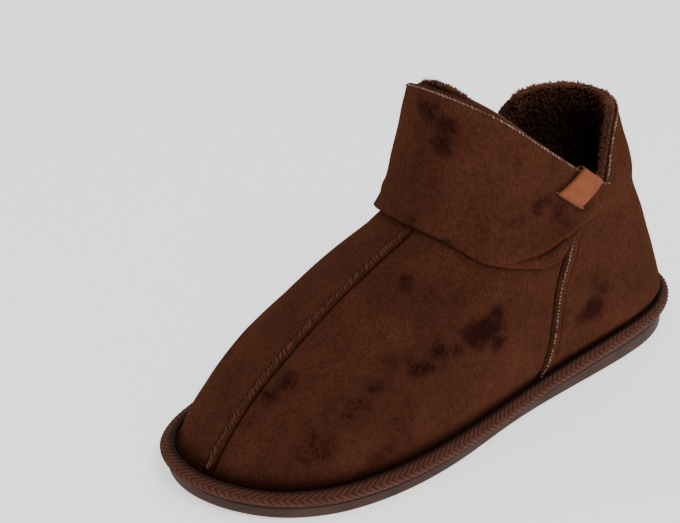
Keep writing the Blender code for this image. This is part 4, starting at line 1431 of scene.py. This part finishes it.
def make_insole(material):
    u = paired_columns(INSOLE_FINE)
    inside = -WALL - INSOLE_GAP
    rings = [met_skin(u, upper_bottom, inside),
             met_skin(u, lambda x, y: insole_top(x, y) - INSOLE_BEVEL, inside),
             met_skin(u, insole_top, inside - INSOLE_BEVEL)]
    piece = capped_piece("insole_fleece", rings, material)
    # Painted shade: a low tip value darkens the insole's fleece deep in the shoe.
    for name, value in (("tip", INSOLE_TIP), ("tone", INSOLE_TONE)):
        set_value(piece, name, np.full(len(piece.data.vertices), value))
    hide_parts("insole")


# Stitches

def path_frames(points, outward, pitch):
    """Places at even steps along a line on the shoe, with their direction and outward normal."""
    run = run_along(points)
    count = max(2, int(run[-1] // pitch))
    at = (np.arange(count) + 0.5) * run[-1] / count

    def pick(values):
        return np.column_stack([np.interp(at, run, values[:, k]) for k in range(3)])

    normal = unit(pick(outward))
    tangent = pick(np.gradient(points, axis=0))
    tangent = unit(tangent - normal * np.sum(tangent * normal, axis=1, keepdims=True))
    return pick(points), tangent, normal


def thread_stitches(name, starts, middles, ends, radius, material, sides=6, steps=6):
    """Short arched threads, each from a start over a middle to an end, joined in one mesh."""
    count = len(starts)
    t = np.linspace(0.0, 1.0, steps + 1)[None, :, None]
    line = ((1 - t) ** 2 * starts[:, None] + 2 * t * (1 - t) * middles[:, None] + t * t * ends[:, None])
    tangent = unit(np.gradient(line, axis=1))
    arch = (middles - 0.5 * (starts + ends))[:, None]
    up = unit(arch - tangent * np.sum(arch * tangent, axis=2, keepdims=True))
    side = np.cross(tangent, up)
    taper = THREAD_END + (1.0 - THREAD_END) * np.sin(math.pi * t)
    size = (steps + 1) * sides
    points = np.zeros((count, size, 3))
    for k in range(sides):
        angle = 2.0 * math.pi * k / sides
        points[:, k::sides] = line + radius * taper * (math.cos(angle) * side + math.sin(angle) * up)
    base = np.arange(count)[:, None, None] * size
    quads = (base + grid_faces(steps + 1, sides, False, True)).reshape(-1, 4).tolist()
    caps = [list(range(b + first, b + first + sides))
            for first in (0, steps * sides) for b in base.ravel()]
    piece = new_piece(name, points, quads + caps, material)
    rng = np.random.default_rng(count)
    set_value(piece, "tone", np.repeat(rng.uniform(0.0, 1.0, count), size))


def crossing_stitches(name, points, outward, sizes, material, shift=0.0):
    """Stitches that cross a line from side to side, all leaning one way, shifted to one side of it."""
    pitch, width, slant, lift, radius = sizes
    place, tangent, normal = path_frames(points, outward, pitch)
    side = np.cross(normal, tangent)
    rng = np.random.default_rng(len(place))

    def around(spread):
        return spread * rng.normal(size=(len(place), 1))

    loose = 1.0 + around(STITCH_LENGTH_SPREAD)
    place = place + (shift + around(STITCH_ACROSS_SPREAD * width)) * side
    place = place + around(STITCH_ALONG_SPREAD * pitch) * tangent
    slanted = slant * (1.0 + around(STITCH_SLANT_SPREAD))
    reach = 0.5 * width * loose * side + slanted * tangent
    thread_stitches(name, place - reach, place + 2.0 * lift * normal, place + reach,
                    radius, material)


def seam_line(seams, index, span, lift):
    """A seam's places between two heights over the lip and under the cuff, and their normals."""
    u, z = np.array([row[index] for row in seams]).T
    flat = level_point(u, z)
    over_lip = z > lip_top(flat[:, 0]) + span[0]
    keep = over_lip & (z < cuff_bottom(flat[:, 0], flat[:, 1]) + span[1])
    points = skin(u[keep], z[keep], lift)
    return points, skin(u[keep], z[keep], lift + NORMAL_STEP) - points


def collar_frames(start, end, drop, face):
    """Places along the collar between two lines u, on a face and a drop below its edge."""
    u = np.linspace(start, end, COLLAR_STATIONS)
    z = row_heights(u, UPPER_LIMITS, 1.0) - drop
    points = skin(u, z, face)
    return path_frames(points, skin(u, z, face + NORMAL_STEP) - points, EDGE_PITCH)


def collar_stitches(name, start, end, face, rng, material):
    """Pale threads that lie nearly along the collar's edge."""
    place, tangent, normal = collar_frames(start, end, 0.0, face)
    down = np.cross(normal, tangent)
    down *= np.sign(-down[:, 2:3])
    loose = 1.0 + EDGE_LENGTH_SPREAD * rng.normal(size=(len(place), 1))
    tilt = EDGE_TILT * (1.0 + EDGE_TILT_SPREAD * rng.normal(size=(len(place), 1))) * down
    step = EDGE_HALF_STEP * loose * tangent
    middle = place + EDGE_DROP * down - EDGE_SINK * normal
    bulge = place + EDGE_BULGE_DROP * down + EDGE_BULGE * loose * normal
    thread_stitches("stitches_collar_" + name, middle + tilt - step, bulge, middle - tilt + step,
                    EDGE_RADIUS, material)


def needle_line(start, end, face, material):
    """A fine sewn line on the cuff below the collar's edge."""
    place, tangent, normal = collar_frames(start, end, NEEDLE_DROP, face)
    reach = NEEDLE_HALF * tangent
    thread_stitches("stitches_needle_line", place - reach, place + NEEDLE_RISE * normal, place + reach,
                    NEEDLE_RADIUS, material)


def make_stitches(seams, same, pale):
    lift = SEAM_RAISE - STITCH_SINK
    points, outward = seam_line(seams, 1, CENTRE_SPAN, lift)
    crossing_stitches("stitches_centre", points, outward, CENTRE_STITCH, same)
    for index, name, ahead in ((0, "outer", 1.0), (2, "inner", -1.0)):
        points, outward = seam_line(seams, index, SIDE_SPAN, lift - SIDE_STITCH_SINK)
        crossing_stitches("stitches_side_" + name, points, outward, SIDE_STITCH, pale,
                          ahead * SIDE_STITCH_SHIFT)
    edge = level_point(DENSE_U, row_heights(DENSE_U, UPPER_LIMITS, 1.0))
    outer, inner = [crossing(edge, half, fixed(NOTCH_PLACE)) for half in (OUTER_HALF, INNER_HALF)]
    face = SKIN_GAP + CUFF_TOP_THICKNESS
    rng = np.random.default_rng(COLLAR_SEED)
    collar_stitches("front", outer, inner, face, rng, pale)
    needle_line(outer, inner, face + NEEDLE_LIFT, same)
    collar_stitches("rear_outer", 0.0, outer, 0.0, rng, pale)
    collar_stitches("rear_inner", inner, 2.0, 0.0, rng, pale)


# The tag

def make_tag(material, thread):
    """The folded leather tag: its leaf on the cuff, the fold over the collar's edge and its return."""
    middle = TAG_PLACE * LENGTH
    side = 0.5 * ANKLE_WIDTH
    step = 0.25 * TAG_WIDTH
    slope = math.atan2(float(collar(middle + step, side) - collar(middle - step, side)), 2.0 * step)
    lean = slope + TAG_TURN
    half = 0.5 * TAG_THICKNESS

    def column(across):
        top_x = middle + (across - 0.5) * TAG_WIDTH * math.cos(slope)
        top_z = float(collar(top_x, side)) + TAG_LIFT * across

        def at(down):
            return top_x + down * math.sin(lean), top_z - down * math.cos(lean)

        face = tag_face(top_x, top_z)
        inward = face - TAG_FOLD
        outer = [side_point(*at(d), tag_face(*at(d)) + half)
                 for d in np.linspace(TAG_LENGTH, 0.0, TAG_ROWS)]
        inner = [side_point(*at(d), inward - half) for d in np.linspace(0.0, TAG_RETURN, TAG_RETURN_ROWS)]
        arch = side_point(*at(-TAG_FOLD_RISE), 0.5 * (inward + face))
        over = [(1 - t) ** 2 * outer[-1] + 2 * t * (1 - t) * arch + t * t * inner[0]
                for t in np.linspace(0.0, 1.0, TAG_FOLD_ROWS)[1:-1]]
        return outer + over + inner

    sheet = np.array([column(i / TAG_COLUMNS) for i in range(TAG_COLUMNS + 1)])
    across_way = np.gradient(sheet, axis=0)
    normal = unit(np.cross(across_way, np.gradient(sheet, axis=1)))
    rows, length = sheet.shape[:2]
    run_a = np.minimum(np.arange(rows), rows - 1 - np.arange(rows)) * TAG_WIDTH / TAG_COLUMNS
    run_b = np.minimum(np.arange(length), length - 1 - np.arange(length)) * TAG_ROW_STEP
    run_in = np.minimum(run_a[:, None], run_b[None, :])
    rim = 1.0 - np.clip(run_in / (TAG_RIM * TAG_THICKNESS), 0.0, 1.0)
    thick = half * np.sqrt(np.clip(1.0 - rim ** 2, TAG_LEAST_THICKNESS ** 2, 1.0))
    front = sheet + normal * thick[..., None]
    back = sheet - normal * thick[..., None]
    faces = grid_faces(rows, length, False, False)
    ids = np.arange(rows * length).reshape(rows, length)
    loop = [*ids[0], *ids[1:, -1], *ids[-1, -2::-1], *ids[-2:0:-1, 0]]
    walls = [[a, b, b + ids.size, a + ids.size] for a, b in zip(loop, loop[1:] + loop[:1])]
    piece = new_piece("tag_leather", np.stack([front, back]), [*faces, *(faces + ids.size), *walls],
                      material)
    set_value(piece, "edge", np.tile(np.exp(-run_in / TAG_WEAR).ravel(), 2))
    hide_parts("tag")
    corner = front[[0, -1], 1]
    way = unit(across_way[[0, -1], 1]) * [[-1.0], [1.0]]
    rise = normal[[0, -1], 1]
    thread_stitches("stitches_tag", corner - TAG_THREAD_IN * way,
                    corner + TAG_THREAD_RISE * rise + TAG_THREAD_SHIFT * way,
                    corner + TAG_THREAD_OUT * way - TAG_THREAD_SINK * rise,
                    TAG_THREAD_RADIUS, thread)


def tag_face(x, z):
    low = cuff_bottom(x, 0.0)
    high = cuff_top(x, 0.5 * ANKLE_WIDTH)
    return SKIN_GAP + cuff_offset(float(np.clip((z - low) / (high - low), 0.0, 1.0))) + TAG_GAP


# Materials. Colours are linear red, green and blue.

SUEDE_BASE = (0.0570, 0.0182, 0.0102)
SUEDE_DARK = (0.0175, 0.0048, 0.0042)
SUEDE_LIGHT = (0.0730, 0.0240, 0.0130)
SUEDE_SHEEN = (0.55, 0.24, 0.13)
# Colour of the shade painted in the suede's grooves, folds and crease.
SUEDE_CREASE_SHADE = (0.004, 0.0015, 0.001)
# PILE_SHADE is the colour of the shade painted on the pile's roots and deep in the shoe.
PILE_SHADE = (0.020, 0.0055, 0.0035)
PILE_BRIGHT = (0.270, 0.092, 0.046)
PILE_DULL = (0.040, 0.011, 0.006)
PILE_SHEEN = (0.60, 0.25, 0.14)
TAPE_LOW = (0.048, 0.0150, 0.0095)
TAPE_HIGH = (0.118, 0.0380, 0.0220)
TAPE_CROSS = (0.046, 0.0140, 0.0090)
# Colour of the shade painted on the tape.
TAPE_CREASE_SHADE = (0.008, 0.003, 0.002)
TAPE_SHEEN = (0.5, 0.25, 0.15)
RUBBER_DARK = (0.056, 0.031, 0.0235)
RUBBER_LIGHT = (0.074, 0.042, 0.032)
RUBBER_SCUFF = (0.115, 0.075, 0.060)
LEATHER_DARK = (0.225, 0.056, 0.0165)
LEATHER_LIGHT = (0.280, 0.077, 0.026)
LEATHER_EDGE = (0.085, 0.020, 0.008)
THREAD_BROWN = (0.110, 0.0400, 0.0225)
THREAD_BROWN_DARK = (0.060, 0.0200, 0.0112)
THREAD_PALE = (0.29, 0.195, 0.155)
THREAD_PALE_DARK = (0.095, 0.052, 0.038)

# Sockets of the mix node for colours.
MIX_FIRST = 6
MIX_SECOND = 7
MIX_RESULT = 2


def feed(tree, socket, value):
    """Sets a socket to a number or a colour, or links another node's output to it."""
    if isinstance(value, (int, float)):
        socket.default_value = value
    elif isinstance(value, tuple):
        socket.default_value = value + (1.0,) * (len(socket.default_value) - len(value))
    else:
        tree.links.new(value, socket)


def add_node(tree, kind, inputs, **settings):
    """A node with its settings, and its inputs fed by name or number."""
    node = tree.nodes.new("ShaderNode" + kind)
    for name, value in settings.items():
        setattr(node, name, value)
    for name, value in inputs.items():
        feed(tree, node.inputs[name], value)
    return node


def node_material(name, **inputs):
    """A material with the shader's inputs, named with low lines for their spaces."""
    material = bpy.data.materials.new(name)
    material.use_nodes = True
    tree = material.node_tree
    shader = tree.nodes["Principled BSDF"]
    for socket, value in inputs.items():
        feed(tree, shader.inputs[socket.replace("_", " ")], value)
    return material, tree, shader


def noise_node(tree, scale, detail, rough=0.5, stretch=None):
    coords = add_node(tree, "TexCoord", {}).outputs["Object"]
    if stretch is not None:
        coords = add_node(tree, "Mapping", {"Scale": stretch, "Vector": coords}).outputs["Vector"]
    inputs = {"Scale": scale, "Detail": detail, "Roughness": rough, "Vector": coords}
    return add_node(tree, "TexNoise", inputs).outputs["Fac"]


def attribute(tree, name):
    return add_node(tree, "Attribute", {}, attribute_name=name).outputs["Fac"]


def calc(tree, operation, *values):
    return add_node(tree, "Math", dict(enumerate(values)), operation=operation).outputs[0]


def ramp(tree, factor, low, high, way="SMOOTHSTEP"):
    """A rise from 0 to 1 between two values."""
    inputs = {"Value": factor, "From Min": low, "From Max": high}
    return add_node(tree, "MapRange", inputs, interpolation_type=way).outputs["Result"]


def mix(tree, factor, first, second, blend="MIX"):
    inputs = {0: factor, MIX_FIRST: first, MIX_SECOND: second}
    return add_node(tree, "Mix", inputs, data_type="RGBA", blend_type=blend).outputs[MIX_RESULT]


def towards(tree, tone, shade, amount, strength):
    """The tone mixed with a shade by an amount that changes over the surface, at a strength."""
    return mix(tree, calc(tree, "MULTIPLY", amount, strength), tone, shade)


def grained(tree, tone, grain, gain, least):
    """The tone times a grain: least where the grain is 0, and the gain more where it is 1."""
    return mix(tree, 1.0, tone, calc(tree, "MULTIPLY_ADD", grain, gain, least), "MULTIPLY")


def centred(tree, value, gain):
    return calc(tree, "MULTIPLY", calc(tree, "SUBTRACT", value, 0.5), gain)


def dress(tree, shader, tone, *layers):
    """Gives the shader its colour and stacks height layers, each (height, distance), on its normal."""
    feed(tree, shader.inputs["Base Color"], tone)
    inputs = {"Strength": 1.0}
    for height, distance in layers:
        inputs.update({"Height": height, "Distance": distance})
        inputs["Normal"] = add_node(tree, "Bump", inputs).outputs["Normal"]
    feed(tree, shader.inputs["Normal"], inputs["Normal"])


def suede_material():
    material, tree, shader = node_material("suede_nap", Roughness=0.95, Specular_IOR_Level=0.0,
                                           Sheen_Weight=0.10, Sheen_Roughness=0.45,
                                           Sheen_Tint=SUEDE_SHEEN)
    broad = noise_node(tree, 38.0, 5.0, 0.55)
    mottle = noise_node(tree, 120.0, 6.0, 0.62)
    fibre = noise_node(tree, 2300.0, 4.0, 0.7)
    nap = noise_node(tree, 700.0, 2.0, 0.60, (1.0, 1.0, 0.7))
    ragged = calc(tree, "ADD", centred(tree, mottle, 1.00), centred(tree, nap, 1.50))
    patch = ramp(tree, calc(tree, "ADD", attribute(tree, "patch"), ragged), 0.20, 0.86)
    tone = mix(tree, ramp(tree, broad, 0.32, 0.68), SUEDE_BASE, SUEDE_LIGHT)
    tone = towards(tree, tone, SUEDE_DARK, ramp(tree, mottle, 0.50, 0.80), 0.40)
    tone = towards(tree, tone, SUEDE_DARK, patch, 0.97)
    # Painted shade in the seams' grooves, the cuff's folds and the crease above the lip.
    tone = towards(tree, tone, SUEDE_CREASE_SHADE, attribute(tree, "crease"), 0.88)
    tone = grained(tree, tone, fibre, 0.9, 0.55)
    tone = grained(tree, tone, ramp(tree, nap, 0.30, 0.70), 0.42, 0.79)
    dress(tree, shader, tone, (mottle, 0.0005), (nap, 0.00040), (fibre, 0.00022))
    return material


def fleece_material():
    material, tree, shader = node_material("fleece_pile", Roughness=0.80, Specular_IOR_Level=0.25,
                                           Sheen_Weight=0.5, Sheen_Roughness=0.4,
                                           Sheen_Tint=PILE_SHEEN)
    fine = noise_node(tree, 900.0, 3.0)
    # Painted shade: the tip value runs from PILE_SHADE at roots and deep in the shoe to PILE_BRIGHT.
    tone = mix(tree, ramp(tree, attribute(tree, "tip"), 0.1, 1.0, "LINEAR"), PILE_SHADE, PILE_BRIGHT)
    tone = mix(tree, ramp(tree, attribute(tree, "tone"), 0.35, 1.0), tone, PILE_DULL)
    dress(tree, shader, grained(tree, tone, fine, 0.8, 0.6), (fine, 0.0004))
    return material


def tape_material():
    """Herringbone: ribs that run up and back down either side of the tape's turn, with finer threads."""
    material, tree, shader = node_material("woven_tape", Roughness=0.78, Specular_IOR_Level=0.16,
                                           Sheen_Weight=0.12, Sheen_Tint=TAPE_SHEEN)
    uv = add_node(tree, "UVMap", {}, uv_map="tape").outputs["UV"]
    split = add_node(tree, "SeparateXYZ", {0: uv}).outputs
    away = calc(tree, "MULTIPLY", calc(tree, "ABSOLUTE", split["Y"]), TAPE_LEAN)
    phase = calc(tree, "ADD", split["X"], away)
    back_phase = calc(tree, "SUBTRACT", split["X"], away)
    wave = calc(tree, "COSINE", calc(tree, "MULTIPLY", phase, 2.0 * math.pi))
    twin = calc(tree, "COSINE", calc(tree, "MULTIPLY", phase, 4.0 * math.pi))
    cross = calc(tree, "SINE", calc(tree, "MULTIPLY", back_phase, 8.0 * math.pi))
    rib = ramp(tree, calc(tree, "MULTIPLY_ADD", twin, -0.30, wave), -1.1, 0.4)
    speck = noise_node(tree, 1300.0, 3.0)
    tone = mix(tree, rib, TAPE_LOW, TAPE_HIGH)
    tone = towards(tree, tone, TAPE_CROSS, ramp(tree, cross, 0.0, 1.0), 0.45)
    tone = grained(tree, tone, speck, 0.7, 0.65)
    tone = grained(tree, tone, noise_node(tree, 90.0, 3.0), 0.6, 0.7)
    # Painted shade under the lip and above the outsole.
    tone = towards(tree, tone, TAPE_CREASE_SHADE, attribute(tree, "crease"), 0.9)
    dress(tree, shader, tone, (wave, 0.00018), (cross, 0.00009), (speck, 0.00014))
    return material


def rubber_material():
    material, tree, shader = node_material("outsole_rubber", Specular_IOR_Level=0.14)
    scuff = noise_node(tree, 240.0, 6.0, 0.65, (0.35, 0.35, 2.5))
    tone = mix(tree, ramp(tree, noise_node(tree, 55.0, 4.0), 0.35, 0.7), RUBBER_DARK, RUBBER_LIGHT)
    tone = towards(tree, tone, RUBBER_SCUFF, ramp(tree, scuff, 0.58, 0.75), 0.35)
    feed(tree, shader.inputs["Roughness"], calc(tree, "MULTIPLY_ADD", scuff, 0.25, 0.55))
    dress(tree, shader, tone, (noise_node(tree, 1500.0, 3.0), 0.00006), (scuff, 0.00008))
    return material


def leather_material():
    material, tree, shader = node_material("tag_leather", Roughness=0.60, Specular_IOR_Level=0.16)
    grain = noise_node(tree, 2600.0, 4.0, 0.6)
    tone = mix(tree, ramp(tree, noise_node(tree, 160.0, 4.0), 0.3, 0.75), LEATHER_DARK, LEATHER_LIGHT)
    tone = towards(tree, tone, LEATHER_EDGE, attribute(tree, "edge"), 0.85)
    dress(tree, shader, grained(tree, tone, grain, 0.4, 0.8), (grain, 0.00012))
    return material


def thread_material(name, colour, dark):
    material, tree, shader = node_material(name, Roughness=0.80, Specular_IOR_Level=0.08)
    fine = noise_node(tree, 2400.0, 3.0)
    tone = mix(tree, attribute(tree, "tone"), colour, dark)
    dress(tree, shader, grained(tree, tone, fine, 0.8, 0.6), (fine, 0.00015))
    return material


# Stage

WHITE = (1.0, 1.0, 1.0, 1.0)
FLOOR_GREY = (0.90, 0.90, 0.90, 1.0)
FLOOR_HALF = 6.0
WORLD_STRENGTH = 0.36

# Lights: name, place in metres, size, power in watts.
LIGHTS = (
    ("key", (0.5, 1.7, 2.1), 1.3, 33.0),
    ("fill", (0.8, -1.6, 1.6), 1.8, 9.0),
    ("top", (-0.6, 0.2, 2.4), 1.6, 12.0),
)
LIGHT_TARGET = (0.0, 0.0, 0.05)


def make_stage():
    material = node_material("floor", Roughness=0.85, Specular_IOR_Level=0.2, Base_Color=FLOOR_GREY,
                             Emission_Color=WHITE, Emission_Strength=1.00)[0]
    mesh = bpy.data.meshes.new("floor")
    square = ((-1, -1), (1, -1), (1, 1), (-1, 1))
    mesh.from_pydata([(x * FLOOR_HALF, y * FLOOR_HALF, 0) for x, y in square], [], [(0, 1, 2, 3)])
    mesh.materials.append(material)
    floor = bpy.data.objects.new("floor", mesh)
    link(floor)
    world = bpy.data.worlds.new("studio")
    world.use_nodes = True
    background = world.node_tree.nodes["Background"]
    background.inputs["Color"].default_value = WHITE
    background.inputs["Strength"].default_value = WORLD_STRENGTH
    bpy.context.scene.world = world


def add_light(name, place, size, power):
    data = bpy.data.lights.new(name, "AREA")
    data.shape = "DISK"
    data.size = size
    data.energy = power
    light = bpy.data.objects.new(name, data)
    light.location = place
    way = Vector(LIGHT_TARGET) - Vector(place)
    light.rotation_mode = "QUATERNION"
    light.rotation_quaternion = way.to_track_quat("-Z", "Y")
    link(light)


# Camera: its way round and up from the target, its turn, and its place in metres.
CAMERA_AZIMUTH = math.radians(137.964)
CAMERA_ELEVATION = math.radians(26.9123)
CAMERA_ROLL = math.radians(0.2922)
CAMERA_DISTANCE = 1.350
CAMERA_TARGET = (0.138896, -0.068886, 0.040)
FOCAL_PIXELS = 2880.93
IMAGE_WIDTH = 680


def make_camera():
    data = bpy.data.cameras.new("camera")
    data.sensor_width = 36.0
    data.lens = FOCAL_PIXELS / IMAGE_WIDTH * data.sensor_width
    camera = bpy.data.objects.new("camera", data)
    back = Vector((math.sin(CAMERA_AZIMUTH) * math.cos(CAMERA_ELEVATION),
                   -math.cos(CAMERA_AZIMUTH) * math.cos(CAMERA_ELEVATION),
                   math.sin(CAMERA_ELEVATION)))
    target = Vector(CAMERA_TARGET) - Vector((MIDDLE[0], MIDDLE[1], 0.0))
    camera.location = target + back * CAMERA_DISTANCE
    camera.rotation_mode = "QUATERNION"
    turn = (-back).to_track_quat("-Z", "Y")
    roll = Quaternion((0.0, 0.0, 1.0), CAMERA_ROLL)
    camera.rotation_quaternion = turn @ roll
    link(camera)
    bpy.context.scene.camera = camera


def main():
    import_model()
    suede = suede_material()
    fleece = fleece_material()
    same = thread_material("thread_brown", THREAD_BROWN, THREAD_BROWN_DARK)
    pale = thread_material("thread_pale", THREAD_PALE, THREAD_PALE_DARK)
    seams = make_upper(suede)
    make_lining(fleece)
    make_cuff(suede)
    make_rand(tape_material())
    make_outsole(rubber_material())
    make_insole(fleece)
    make_stitches(seams, same, pale)
    make_tag(leather_material(), pale)
    make_piles(fleece)
    make_stage()
    make_camera()
    for light in LIGHTS:
        add_light(*light)


main()
